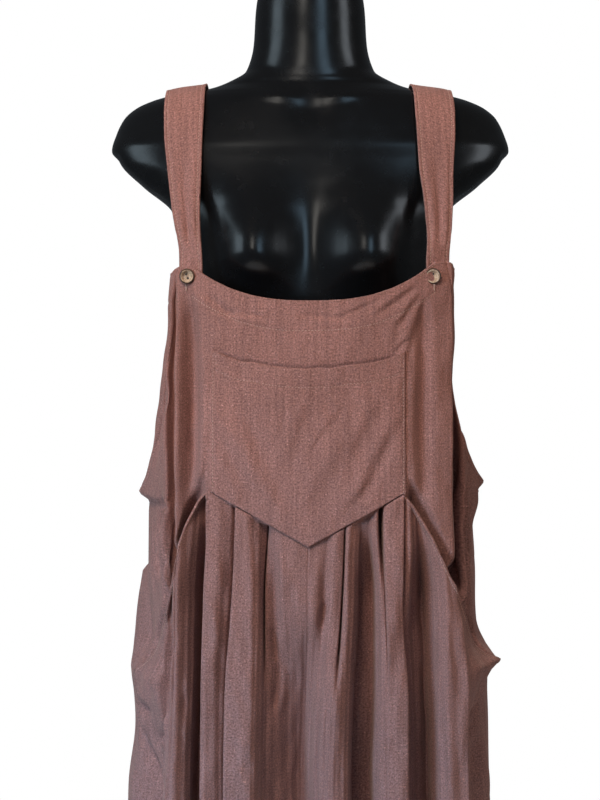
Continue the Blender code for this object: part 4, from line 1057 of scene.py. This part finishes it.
LEG_CREASES = {
    # from x, z, to x, z, width, depth: small creases on the face of each leg
    LEFT: np.array((
        (0.0400, 0.852, 0.0325, 0.803, 0.0042, 0.0044),
        (0.0325, 0.808, 0.0300, 0.782, 0.0038, 0.0039),
        (0.0300, 0.790, 0.0375, 0.752, 0.0045, 0.0039),
        (0.1390, 0.800, 0.1340, 0.748, 0.0048, 0.0026),
        (0.1310, 0.785, 0.1325, 0.745, 0.0042, 0.0018),
        (0.1400, 0.740, 0.1300, 0.722, 0.0038, 0.0021),
        (0.0800, 0.742, 0.0740, 0.700, 0.0048, 0.0029),
        (0.0700, 0.730, 0.0600, 0.690, 0.0064, 0.0021),
        (0.0650, 0.860, 0.0600, 0.800, 0.0096, 0.0018),
        (0.1080, 0.880, 0.1040, 0.820, 0.0064, 0.0018),
        (0.1000, 0.700, 0.0960, 0.650, 0.0080, 0.0026),
        (0.0480, 0.760, 0.0520, 0.700, 0.0080, 0.0023),
        (0.0200, 0.900, 0.0120, 0.850, 0.0064, 0.0018),
        (0.1360, 0.560, 0.1240, 0.500, 0.0096, 0.0039),
        (0.0700, 0.520, 0.0600, 0.440, 0.0128, 0.0039),
        (0.0500, 0.330, 0.0640, 0.260, 0.0112, 0.0039),
        (0.1200, 0.300, 0.1320, 0.240, 0.0096, 0.0039),
    )),
    RIGHT: np.array((
        (0.0200, 0.880, 0.0140, 0.845, 0.0056, 0.0029),
        (0.0340, 0.840, 0.0300, 0.800, 0.0056, 0.0023),
        (0.0900, 0.860, 0.0860, 0.790, 0.0080, 0.0021),
        (0.1320, 0.850, 0.1340, 0.790, 0.0064, 0.0021),
        (0.1400, 0.760, 0.1300, 0.720, 0.0064, 0.0026),
        (0.0260, 0.760, 0.0200, 0.700, 0.0072, 0.0026),
        (0.0860, 0.740, 0.0800, 0.690, 0.0072, 0.0023),
        (0.1180, 0.920, 0.1240, 0.870, 0.0064, 0.0023),
        (0.0560, 0.720, 0.0500, 0.680, 0.0048, 0.0026),
        (0.1300, 0.540, 0.1420, 0.480, 0.0096, 0.0039),
        (0.0600, 0.500, 0.0720, 0.420, 0.0128, 0.0039),
        (0.1100, 0.320, 0.1240, 0.250, 0.0112, 0.0039),
    )),
}
LEG_SIDE_CREASES = {
    # from cloth length out, z, to length out, z, width, depth: drags that run in from the pocket's ear
    LEFT: np.array((
        (0.2560, 0.760, 0.2080, 0.746, 0.0064, 0.0057),
        (0.1640, 0.756, 0.1670, 0.728, 0.0054, 0.0057),
        (0.1630, 0.738, 0.2080, 0.714, 0.0058, 0.0065),
        (0.2660, 0.764, 0.2280, 0.702, 0.0096, 0.0104),
        (0.2380, 0.714, 0.1800, 0.650, 0.0096, 0.0104),
        (0.1920, 0.668, 0.1580, 0.580, 0.0104, 0.0091),
        (0.1760, 0.856, 0.1810, 0.808, 0.0054, 0.0047),
        (0.1900, 0.838, 0.1760, 0.790, 0.0080, 0.0047),
        (0.2200, 0.806, 0.1960, 0.764, 0.0096, 0.0047),
        (0.1520, 0.830, 0.1560, 0.770, 0.0064, 0.0039),
        (0.2300, 0.560, 0.1900, 0.480, 0.0128, 0.0052),
        (0.1900, 0.400, 0.2200, 0.320, 0.0128, 0.0052),
    )),
    RIGHT: np.array((
        (0.2540, 0.798, 0.2050, 0.776, 0.0072, 0.0039),
        (0.2500, 0.786, 0.1960, 0.740, 0.0080, 0.0047),
        (0.2460, 0.776, 0.2050, 0.706, 0.0080, 0.0047),
        (0.2220, 0.760, 0.1800, 0.748, 0.0048, 0.0023),
        (0.2320, 0.730, 0.2140, 0.660, 0.0096, 0.0047),
        (0.2300, 0.540, 0.1960, 0.470, 0.0128, 0.0052),
        (0.1860, 0.380, 0.2140, 0.300, 0.0128, 0.0052),
    )),
}
LEG_FOLD_BACK = {
    # z, how far the cloth goes straight back behind the fold at the side of the leg
    LEFT: np.array(((0.100, 0.008), (0.640, 0.014), (0.760, 0.017), (0.860, 0.016), (0.890, 0.004))),
    RIGHT: np.array(((0.100, 0.008), (0.560, 0.012), (0.640, 0.018), (0.690, 0.019), (0.740, 0.014),
                     (0.780, 0.007), (0.860, 0.002))),
}
SIDE_HOLLOW = np.array(((HEM_Z, 0.012), (0.400, 0.022), (0.650, 0.018), (0.730, 0.009), (0.785, 0.000)))
SIDE_HOLLOW_PLACE = 0.76
SIDE_HOLLOW_HALF = 0.19
LEG_STEP = 0.0024
LEG_DOWNS = np.concatenate((steps_between((0, 0.02), 0.0014), steps_between((0.02, 0.38), 0.0040)[1:],
                            steps_between((0.38, 0.97), 0.0110)[1:], steps_between((0.97, 1.0), 0.0030)[1:]))


def line_places(side):
    """Places of the fold lines and of the side, and their depths, at closely spaced heights."""
    heights = np.linspace(HEM_Z, 1.0, 181)
    places = [np.zeros(len(heights))]
    depths = [read(MIDDLE_FOLD, 1, heights) * (1 - crotch(heights, FRONT))]
    for line in LEG_LINES[side]:
        out = read(np.column_stack((FOLD_HEIGHTS, line[:5])), 1, heights)
        place = np.maximum(place_at(side, out, heights, FRONT), LEAST_APART * len(places))
        calm = mix(1, smooth(place / CALM_INSEAM), crotch(heights, FRONT))
        places.append(place)
        depths.append(read(np.column_stack((FOLD_HEIGHTS, line[5:])), 1, heights) * calm)
    last = places[-1]
    corners = np.maximum(CORNER, place_at(side, read(LEVELS[side], 1, heights), heights, FRONT))
    for place in (CORNER - 0.015, CORNER - 0.003):
        places.append(mix(last, corners, (place - LAST_FOLD_PLACE) / (CORNER - LAST_FOLD_PLACE)))
    places += [mix(corners, 1, (place - CORNER) / (1 - CORNER)) for place in SIDE_PLACES]
    depths += [np.zeros(len(heights))] * (len(places) - len(depths))
    return heights, np.array(places), np.array(depths) * 0.001, corners


def calm_at_seams(place):
    """Nought at the middle seam or inseam and at the side seam, and 1 between, for ripples."""
    return smooth(place / 0.03) * smooth((1 - place) / 0.03)


def mouth_gape(side, place, z):
    """How far the pocket mouth stands off the cloth behind it, fading down the leg."""
    fade = np.exp(-np.maximum(leg_top(side, place) - z, 0.0) / MOUTH_FADE)
    return MOUTH_GAPE[side] * np.maximum(np.sin(math.pi * along_mouth(side, place)), 0.0) * fade


def leg_grid(side):
    """Points of a front leg: a column down each fold line and between them, pressed in as its tables say."""
    heights, places, depths, corners = line_places(side)
    columns = []
    middle = places[:, len(heights) // 2]
    for line in range(len(places) - 1):
        count = max(5, round((middle[line + 1] - middle[line]) * HALF_RING / LEG_STEP))
        columns += [(line, part / count) for part in range(count)]
    columns.append((len(places) - 2, 1.0))
    grid = []
    for line, part in columns:
        column_place = mix(places[line], places[line + 1], part)
        column_depth = mix(depths[line], depths[line + 1], smooth(part))
        z = np.full(len(LEG_DOWNS), V_POINT_Z)
        for _ in range(8):
            place = np.interp(z, heights, column_place)
            top = leg_top(side, place)
            seamed = smooth((MOUTH[side][0][0] - place) / 0.012)
            z = mix(top + 0.0003 * seamed, HEM_Z, LEG_DOWNS)
        inward = np.interp(z, heights, column_depth) * smooth((top + 0.002 - z) / 0.006)
        inward = inward + 0.0005 * seamed * smooth((z - top + 0.0016) / 0.0016)
        x = ring(side, place, z, FRONT)[0]
        opened = smooth((top - z) / 0.010)
        inward = inward + creased(LEG_CREASES[side], x, z) * opened * (place < CORNER)
        inward = inward + creased(LEG_SIDE_CREASES[side], place * HALF_RING, z) * smooth((1 - place) / 0.03)
        wide = LEG_WIDE_RIPPLE * sway(x, z, 0.055, 0.190, 21 + side) * smooth((top - z) / 0.050)
        fine = LEG_FINE_RIPPLE * sway(x, z, 0.018, 0.070, 31 + side) * smooth((top - z) / 0.020)
        inward = inward + (wide + fine) * calm_at_seams(place)
        aside = np.clip((place - SIDE_HOLLOW_PLACE) / SIDE_HOLLOW_HALF, -1, 1)
        inward = inward + read(SIDE_HOLLOW, 1, z) * 0.5 * (1 + np.cos(math.pi * aside))
        points = hung(side, place, z, FRONT, inward)
        # near the crotch the pleats go straight back, so that the inner ones stay on their own leg
        inner = smooth((INNER_PLEATS + INNER_FADE - place) / INNER_FADE)
        straight = smooth((STRAIGHT_FROM_Z - z) / STRAIGHT_FADE) * inner
        points[:, 0] = mix(points[:, 0], hung(side, place, z, FRONT, 0)[:, 0], straight)
        past = (place - np.interp(z, heights, corners)) * HALF_RING
        behind = smooth(past / FOLD_TURN) * smooth((FOLD_ENDS - past) / 0.034) * smooth((top - z) / 0.020)
        points[:, 1] += read(LEG_FOLD_BACK[side], 1, z) * behind - mouth_gape(side, place, z)
        grid.append(points)
    grid = np.stack(grid, 1)
    return grid if side == RIGHT else grid[:, ::-1]


for side, side_name, area in ((LEFT, "left", 0.33), (RIGHT, "right", 0.34)):
    grid = leg_grid(side)
    normals = normals_over(grid)
    down = from_edge(grid, 0)
    at_mouth = np.abs(grid[0, :, 0]) > MOUTH_STARTS_X[side]
    mouth_columns = np.nonzero(at_mouth)[0]
    grid = np.where(at_mouth[None, :, None], sunk(grid, normals, down, (MOUTH_STITCH,)), grid)
    leg, order = laid(f"leg_front_{side_name}_linen", grid, lengths_over(grid))
    hem = (at_mouth[None, :] & (down < MOUTH_TURNING)) | (grid[..., 2] < HEM_Z + HEM_TURNING)
    dress(leg, linen_cloth, CLOTH, hem, order)
    mouth_run = run_along(grid, normals, row_at(down, MOUTH_STITCH)[mouth_columns], mouth_columns)
    hem_run = run_along(grid, normals, row_at(-grid[..., 2], -HEM_Z - HEM_STITCH), np.arange(grid.shape[1]))
    stitches = stitched(f"leg_front_{side_name}_stitches", (mouth_run, hem_run), HEM_CLOTH * 0.45)
    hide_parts(f"leg_front_{side_name}")


# ---------------------------------------------------------------- back legs
# Two wide back legs, hung from the back waist seam in soft pleats, and joined to the front legs down the
# side seams and inseams.
BACK_HEIGHTS = np.array((0.100, 0.600, 0.820, 0.905))
BACK_LINES = np.array((
    # distance out at the four heights, then depth in at the four heights, in mm
    (0.0280, 0.0270, 0.0270, 0.0270, 0, 0, 0, 0),
    (0.0400, 0.0380, 0.0360, 0.0360, 12, 12, 10, 6),
    (0.0490, 0.0470, 0.0450, 0.0430, 0, 0, 0, 0),
    (0.0600, 0.0590, 0.0590, 0.0580, -2, -2, -2, -1),
    (0.0740, 0.0740, 0.0710, 0.0690, 18, 18, 12, 6),
    (0.0840, 0.0850, 0.0810, 0.0780, 0, 0, 0, 0),
    (0.0990, 0.0980, 0.0940, 0.0900, -3, -3, -2, -1),
    (0.1150, 0.1150, 0.1090, 0.1030, 18, 20, 12, 5),
    (0.1300, 0.1310, 0.1240, 0.1160, 0, 0, 0, 0),
))
BACK_DOWNS = np.concatenate((steps_between((0, 0.40), 0.0060), steps_between((0.40, 0.97), 0.0120)[1:],
                             steps_between((0.97, 1.0), 0.0040)[1:]))
BACK_STEP = 0.0035
BACK_RIPPLE = 0.0018


def back_leg_grid(side):
    """Points of a back leg, as a front leg's are made."""
    z = mix(BACK_WAIST_Z, HEM_Z, BACK_DOWNS)
    places = [np.zeros(len(z))]
    depths = [np.zeros(len(z))]
    for line in BACK_LINES:
        out = read(np.column_stack((BACK_HEIGHTS, line[:4])), 1, z)
        places.append(place_at(side, out, z, BACK))
        depths.append(read(np.column_stack((BACK_HEIGHTS, line[4:])), 1, z) * 0.001)
    for part in (0.35, 0.7, 1.0):
        places.append(mix(places[len(BACK_LINES)], 1.0, part))
        depths.append(np.zeros(len(z)))
    grid = []
    for line in range(len(places) - 1):
        count = max(5, round(float(places[line + 1][20] - places[line][20]) * HALF_RING / BACK_STEP))
        last = line == len(places) - 2
        for step in range(count + last):
            part = step / count
            place = mix(places[line], places[line + 1], part)
            inward = mix(depths[line], depths[line + 1], smooth(part)) * smooth((BACK_WAIST_Z - z) / 0.030)
            ripple = BACK_RIPPLE * sway(ring(side, place, z, BACK)[0], z, 0.060, 0.200, 41 + side)
            inward = inward + ripple * smooth((BACK_WAIST_Z - z) / 0.05) * calm_at_seams(place)
            grid.append(hung(side, place, z, BACK, inward))
    grid = np.stack(grid, 1)
    return grid if side == LEFT else grid[:, ::-1]


for side, side_name in ((LEFT, "left"), (RIGHT, "right")):
    grid = back_leg_grid(side)
    leg, order = laid(f"leg_back_{side_name}_linen", grid, lengths_over(grid))
    dress(leg, linen_cloth, CLOTH, grid[..., 2] < HEM_Z + HEM_TURNING, order)
    hem_rows = row_at(-grid[..., 2], -HEM_Z - HEM_STITCH)
    hem_run = run_along(grid, normals_over(grid), hem_rows, np.arange(grid.shape[1]))
    stitches = stitched(f"leg_back_{side_name}_stitches", (hem_run,), HEM_CLOTH * 0.45)
    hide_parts(f"leg_back_{side_name}")


# ---------------------------------------------------------------- back bib
# The plain back, from the straps and the deep armholes down to the back waist seam, faced and topstitched
# along its top and armholes.
BACK_TOP_Z = 1.235
BACK_BIB_RIPPLE = 0.0022
BACK_ARMHOLE_STITCH = 0.0070
BACK_ARMHOLE = np.array(((0.976, 1.00), (0.986, 0.84), (1.000, 0.70), (1.022, 0.60), (1.047, 0.54),
                         (1.075, 0.50), (1.110, 0.48), (1.240, 0.45)))
back_parts = steps_between((0, 1), 0.011)
back_columns = [(RIGHT, part) for part in back_parts[:0:-1]] + [(LEFT, part) for part in back_parts]
back_z = mix(BACK_TOP_Z, BACK_WAIST_Z, steps_between((0, 1), 0.0085))


def back_bib_column(side, part):
    spot = part * read(BACK_ARMHOLE, 1, back_z)
    x = ring(side, spot, back_z, BACK)[0]
    inward = BACK_BIB_RIPPLE * sway(side * x, back_z, 0.090, 0.160, 51) * smooth((BACK_TOP_Z - back_z) / 0.08)
    inward = inward * smooth((1 - spot) / 0.05)
    return hung(side, spot, back_z, BACK, inward)


back_grid = np.stack([back_bib_column(side, part) for side, part in back_columns], 1)
back_normals = normals_over(back_grid)
below_top = from_edge(back_grid, 0)
back_open = back_grid[:, 0, 2] > BACK_ARMHOLE[0][0]
back_in = np.minimum(from_edge(back_grid, 1), from_edge(back_grid[:, ::-1], 1)[:, ::-1])
back_grid = sunk(back_grid, back_normals, below_top, (EDGE_STITCH, FACING))
pressed = sunk(back_grid, back_normals, back_in, (BACK_ARMHOLE_STITCH,))
back_grid = np.where(back_open[:, None, None], pressed, back_grid)
back_bib, back_order = laid("bib_back_linen", back_grid, lengths_over(back_grid))
back_hem = below_top < EDGE_STITCH + 0.0010
back_hem |= back_open[:, None] & (back_in < BACK_ARMHOLE_STITCH + 0.0015)
dress(back_bib, linen_cloth, CLOTH, back_hem, back_order)
back_lines = [run_along(back_grid, back_normals, row_at(below_top, below), np.arange(len(back_columns)))
              for below in (EDGE_STITCH, FACING)]
rows = np.nonzero(back_open)[0][2:-1].astype(float)
for mirrored in (False, True):
    columns = inset_columns(back_grid, rows, BACK_ARMHOLE_STITCH, mirrored)
    back_lines.append(run_along(back_grid, back_normals, rows, columns))
back_stitches = stitched("bib_back_stitches", back_lines, HEM_CLOTH * 0.3)
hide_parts("bib_back")


# ---------------------------------------------------------------- shoulder straps
# Two layers of linen turned out and topstitched along both edges. Each is sewn behind the back bib, goes
# over the shoulder, narrows in soft folds, and is held behind the front bib by its button.
STRAPS = np.array((
    # row, left x, right x, y, z, width, turn in degrees, crease
    (0, 0.1265, 0.1335, -0.0960, 1.188, 0.024, 9, 0.0000),
    (1, 0.1270, 0.1345, -0.0930, 1.225, 0.025, 9, 0.0006),
    (2, 0.1290, 0.1358, -0.0890, 1.255, 0.026, 10, 0.0020),
    (3, 0.1325, 0.1355, -0.0825, 1.290, 0.031, 10, 0.0016),
    (4, 0.1342, 0.1335, -0.0760, 1.330, 0.037, 8, 0.0008),
    (5, 0.1355, 0.1335, -0.0700, 1.365, 0.041, 6, 0.0000),
    (6, 0.1355, 0.1330, -0.0570, 1.3963, 0.043, 4, 0.0000),
    (7, 0.1355, 0.1325, -0.0400, 1.4123, 0.043, 0, 0.0000),
    (8, 0.1355, 0.1320, -0.0180, 1.4210, 0.043, 0, 0.0000),
    (9, 0.1350, 0.1315, 0.0060, 1.4232, 0.043, 0, 0.0000),
    (10, 0.1350, 0.1315, 0.0300, 1.4212, 0.043, 0, 0.0000),
    (11, 0.1345, 0.1315, 0.0520, 1.4123, 0.043, 0, 0.0000),
    (12, 0.1335, 0.1310, 0.0690, 1.3963, 0.043, -4, 0.0000),
    (13, 0.1320, 0.1300, 0.0810, 1.365, 0.043, -8, 0.0000),
    (14, 0.1290, 0.1280, 0.0850, 1.320, 0.043, -8, 0.0000),
    (15, 0.1255, 0.1255, 0.0860, 1.270, 0.043, -8, 0.0000),
    (16, 0.1230, 0.1230, 0.0850, 1.235, 0.043, -8, 0.0000),
    (17, 0.1220, 0.1220, 0.0840, 1.208, 0.043, -8, 0.0000),
))
STRAP_THICK = 0.0024
STRAP_STITCH = 0.0040
STRAP_ROWS = 240
STRAP_COLUMNS = 31
STRAP_TILT = 0.175
STRAP_SHOULDER_Z = 1.385
STRAP_FREE = 0.030
STRAP_BEHIND = 0.0029


def strap_grid(side):
    """Points of a strap: free over the shoulder, and held behind the front bib and behind the back bib."""
    key = np.linspace(0, STRAPS[-1, 0], STRAP_ROWS)[:, None]
    part = np.linspace(-1, 1, STRAP_COLUMNS)[None, :]
    now = [read(STRAPS, at, key) for at in range(1, 8)]
    before = [read(STRAPS, at, key - 0.2) for at in (3, 4)]
    after = [read(STRAPS, at, key + 0.2) for at in (3, 4)]
    run_y = after[0] - before[0]
    run_z = after[1] - before[1]
    length = np.hypot(run_y, run_z)
    middle = now[0] if side == LEFT else now[1]
    crease = np.cos(part * math.tau) * (1 - part ** 4)
    reach = part * now[4] / 2
    turn = np.radians(now[5])
    x = middle + reach * np.cos(turn)
    y = now[2] + reach * np.sin(turn)
    z = now[3] - reach * STRAP_TILT * smooth((now[3] - STRAP_SHOULDER_Z) / 0.030)
    proud = -crease * now[6] + 0.0005 * sway(part * 0.02, key * 0.03, 0.05, 0.09, 61 + side)
    free = np.stack(np.broadcast_arrays(side * x, y - run_z / length * proud, z + run_y / length * proud), -1)
    held_z = np.minimum(z, BACK_TOP_Z)
    front = hung(side, place_at(side, x, held_z, FRONT), held_z, FRONT,
                 bib_inward(side, x, held_z) + STRAP_BEHIND)
    back = hung(side, place_at(side, x, held_z, BACK), held_z, BACK, STRAP_BEHIND)
    held = np.where((y < 0)[..., None], front, back)
    held[..., 2] = z
    grid = mix(free, held, smooth((BACK_TOP_Z + STRAP_FREE - z) / STRAP_FREE)[..., None])
    return grid if side == RIGHT else grid[:, ::-1]


for side, side_name in ((LEFT, "left"), (RIGHT, "right")):
    grid = strap_grid(side)[::-1]
    normals = normals_over(grid)
    inset = np.minimum(from_edge(grid, 1), from_edge(grid[:, ::-1], 1)[:, ::-1])
    grid = sunk(grid, normals, inset, (STRAP_STITCH,))
    lengths = np.stack((from_edge(grid, 1), from_edge(grid, 0)), -1)
    strap, _ = laid(f"strap_{side_name}_linen", grid, lengths)
    dress(strap, linen_cloth, STRAP_THICK)
    rows = np.arange(2, STRAP_ROWS - 2).astype(float)
    runs = [run_along(grid, normals, rows, inset_columns(grid, rows, STRAP_STITCH, mirrored))
            for mirrored in (False, True)]
    stitches = stitched(f"strap_{side_name}_stitches", runs, STRAP_THICK / 2)
    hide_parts(f"strap_{side_name}")


# ---------------------------------------------------------------- buttons
# Two-hole buttons turned from coconut shell, tan with a dark rim, sewn on with tan thread through a worked
# buttonhole. Each hole is a near-black plug just proud of the face: painted shade standing for the hole.
def coconut(name, dark, pale):
    made, tree = material(name)
    where = add(tree, "ShaderNodeTexCoord").outputs["Object"]
    grain = add(tree, "ShaderNodeTexNoise", {"Vector": where, "Scale": 420.0, "Detail": 4.0,
                                             "Roughness": 0.7})
    tone = add(tree, "ShaderNodeValToRGB", {"Fac": grain.outputs[0]})
    tone.color_ramp.elements[0].position = 0.30
    tone.color_ramp.elements[0].color = dark
    tone.color_ramp.elements[1].position = 0.62
    tone.color_ramp.elements[1].color = pale
    bump = add(tree, "ShaderNodeBump", {"Height": grain.outputs[0], "Strength": 0.15, "Distance": 0.0003})
    surface(tree, Base_Color=tone.outputs[0], Roughness=0.38, Specular_IOR_Level=0.5, Normal=bump.outputs[0])
    return made


BUTTON_TILT = {LEFT: 24, RIGHT: -12}
HOLE_APART = 0.0046
HOLE_RADIUS = 0.0012
HOLE_SINK = 0.0011
HOLE_PROUD = 0.00006
RIM_SHARE = 0.86
BUTTON_PROFILE = (
    # share of the radius, share of the thickness
    (0.00, 0.66), (0.42, 0.66), (0.58, 0.74), (0.70, 0.96), (0.82, 1.00), (0.93, 0.96), (1.00, 0.78),
    (1.00, 0.34), (0.90, 0.00), (0.00, 0.00),
)


def turned_button(side_name, tilt):
    """A button turned about its own axis, its face towards the front, with two near-black plugs standing just
    proud of its face: painted shade in place of drilled holes.
    """
    low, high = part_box(f"button_{side_name}")
    centre = Vector([(one + other) / 2 for one, other in zip(low, high)])
    radius = (high[0] - low[0]) / 2
    thick = high[1] - low[1]
    bm = bmesh.new()
    rim = [bm.verts.new((share * radius, 0, rise * thick)) for share, rise in BUTTON_PROFILE]
    edges = [bm.edges.new(pair) for pair in zip(rim, rim[1:])]
    bmesh.ops.spin(bm, geom=rim + edges, axis=(0, 0, 1), cent=(0, 0, 0), steps=48, angle=math.tau,
                   use_merge=True)
    bmesh.ops.remove_doubles(bm, verts=bm.verts, dist=0.00001)
    bmesh.ops.recalc_face_normals(bm, faces=bm.faces)
    for face in bm.faces:
        face.material_index = int(face.calc_center_median().xy.length > radius * RIM_SHARE)
    floor_rise = BUTTON_PROFILE[0][1] * thick
    # Each hole is a short near-black cone whose top stands just proud of the face: painted shade where a
    # drilled hole would be.
    for hole in (-1, 1):
        well = Matrix.Translation((0, hole * HOLE_APART / 2, floor_rise - HOLE_SINK / 2 + HOLE_PROUD))
        made = bmesh.ops.create_cone(bm, cap_ends=True, segments=16, radius1=HOLE_RADIUS * 0.8,
                                     radius2=HOLE_RADIUS, depth=HOLE_SINK, matrix=well)
        for face in {face for vert in made["verts"] for face in vert.link_faces}:
            face.material_index = 2
    face_on = Matrix.Rotation(math.radians(90), 4, "X") @ Matrix.Rotation(math.radians(tilt), 4, "Z")
    seated = Matrix.Translation((centre.x, high[1], centre.z)) @ face_on
    bmesh.ops.transform(bm, matrix=seated, verts=bm.verts)
    button = placed(f"button_{side_name}_shell", bm)
    button.data.shade_smooth()
    button.data.set_sharp_from_angle(angle=math.radians(40))
    return button


HOLE_LONG = 0.0120
HOLE_BELOW = 0.0075
HOLE_ZIGZAG = 0.0011
HOLE_STEP = 0.00055


def buttonhole(side, side_name):
    """A zigzag of close stitches down a worked buttonhole that runs on below its button."""
    low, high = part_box(f"button_{side_name}")
    centre_x = (low[0] + high[0]) / 2
    z = (low[2] + high[2]) / 2 - HOLE_BELOW - np.arange(0, HOLE_LONG - HOLE_BELOW / 2, HOLE_STEP)
    x = centre_x + side * 0.0010 + HOLE_ZIGZAG * (-1.0) ** np.arange(len(z))
    points = on_bib(x, z, HEM_CLOTH / 2)
    return points, np.tile((0.0, -1.0, 0.0), (len(points), 1))


stitched("buttonholes_stitches", [buttonhole(LEFT, "left"), buttonhole(RIGHT, "right")],
         length=2 * HOLE_ZIGZAG, pitch=math.hypot(2 * HOLE_ZIGZAG, HOLE_STEP), thick=0.00028)

# The third finish is near black: painted shade for the button holes.
shell_finishes = [coconut("coconut_face", (0.16, 0.085, 0.045, 1), (0.56, 0.42, 0.30, 1)),
                  coconut("coconut_rim", (0.020, 0.010, 0.006, 1), (0.085, 0.045, 0.025, 1)),
                  coconut("painted_hole_shade", (0.006, 0.003, 0.002, 1), (0.020, 0.010, 0.007, 1))]
for side, side_name in ((LEFT, "left"), (RIGHT, "right")):
    button = turned_button(side_name, BUTTON_TILT[side])
    for finish in shell_finishes:
        button.data.materials.append(finish)
    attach(button, "root")
    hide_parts(f"button_{side_name}")


# ---------------------------------------------------------------- floor, lights and camera
# A pale studio floor, soft light from large panels, and the camera in front at chest height.
plain = bmesh.new()
bmesh.ops.create_circle(plain, cap_ends=True, segments=96, radius=1.1)
floor = placed("floor", plain)
floor_finish, floor_tree = material("pale_floor")
surface(floor_tree, Base_Color=(0.86, 0.86, 0.85, 1), Roughness=0.7)
floor.data.materials.append(floor_finish)

world = bpy.data.worlds.new("studio")
bpy.context.scene.world = world
world.use_nodes = True
tree = world.node_tree
tree.nodes.clear()
rays = add(tree, "ShaderNodeLightPath").outputs
around = add(tree, "ShaderNodeBackground", {"Color": (1.0, 0.82, 0.74, 1), "Strength": 0.11})
mirrored = add(tree, "ShaderNodeBackground", {"Color": (0.80, 0.90, 1.0, 1), "Strength": 0.09})
behind = add(tree, "ShaderNodeBackground", {"Color": (1, 1, 1, 1), "Strength": 1.0})
softly = add(tree, "ShaderNodeMixShader", {0: rays["Is Glossy Ray"], 1: around.outputs[0],
                                           2: mirrored.outputs[0]})
shown = add(tree, "ShaderNodeMixShader", {0: rays["Is Camera Ray"], 1: softly.outputs[0],
                                          2: behind.outputs[0]})
add(tree, "ShaderNodeOutputWorld", {"Surface": shown.outputs[0]})

LOW_AIM = (0.0, 0.0, 0.35)
MIDDLE_AIM = (0.0, 0.0, 1.05)
SIDE_AIM = (0.0, 0.0, 0.95)
BACK_AIM = (0.0, 0.0, 1.0)
TOP_AIM = (0.0, 0.0, 1.2)
CHEST_AIM = (0.0, 0.0, 1.25)
SHOULDER_AIM = (0.0, 0.0, 1.30)
LIGHTS = (
    # name, place, aim, width, height, spread, power, colour, and whether it lights things, where the
    # glows are only mirrored in the form
    ("window_panel", (-1.80, -1.85, 1.85), MIDDLE_AIM, 0.8, 1.0, 180, 34.0, (0.62, 0.83, 1.0), True),
    ("low_window_panel", (-1.70, -1.75, 1.15), LOW_AIM, 0.6, 0.5, 56, 2.6, (0.40, 0.72, 1.0), True),
    ("room_panel", (-0.55, -1.65, 2.6), BACK_AIM, 0.6, 0.6, 180, 37.0, (1.0, 0.80, 0.64), True),
    ("side_panel", (2.2, -0.6, 1.3), SIDE_AIM, 0.9, 1.2, 180, 8.0, (1.0, 0.74, 0.54), True),
    ("top_panel", (0.0, -0.4, 3.2), TOP_AIM, 1.4, 1.2, 180, 6.0, (1.0, 0.96, 0.92), True),
    ("back_panel", (0.5, 2.4, 2.2), BACK_AIM, 1.8, 1.6, 180, 40.0, (1.0, 0.96, 0.93), True),
    ("window_glow", (0.75, -2.2, 1.45), CHEST_AIM, 0.55, 1.5, 180, 8.0, (0.50, 0.76, 1.0), False),
    ("room_glow", (-0.5, -2.3, 1.75), CHEST_AIM, 0.40, 1.1, 180, 5.0, (1.0, 0.95, 0.88), False),
    ("side_glow", (-2.0, -0.9, 1.5), SHOULDER_AIM, 0.9, 1.3, 180, 11.0, (0.70, 0.88, 1.0), False),
    ("far_glow", (2.0, -0.8, 1.6), SHOULDER_AIM, 0.7, 1.2, 180, 8.5, (0.85, 0.92, 1.0), False),
)
for name, place, aim, width, height, spread, power, colour, lights_cloth in LIGHTS:
    panel = bpy.data.lights.new(name, "AREA")
    panel.shape = "RECTANGLE"
    panel.size = width
    panel.size_y = height
    panel.spread = math.radians(spread)
    panel.energy = power
    panel.color = colour
    lamp = bpy.data.objects.new(name, panel)
    lamp.location = place
    lamp.rotation_euler = (Vector(aim) - Vector(place)).to_track_quat("-Z", "Y").to_euler()
    lamp.visible_diffuse = lights_cloth
    lamp.visible_glossy = not lights_cloth
    bpy.context.scene.collection.objects.link(lamp)

lens = bpy.data.cameras.new("camera")
lens.lens = 76.5
lens.sensor_width = 36.0
lens.shift_y = -0.0875
camera = bpy.data.objects.new("camera", lens)
camera.location = (-0.0113, -1.88, 1.156)
camera.rotation_euler = (math.pi / 2, 0, 0)
bpy.context.scene.collection.objects.link(camera)
bpy.context.scene.camera = camera
bpy.context.scene.view_settings.view_transform = "Standard"
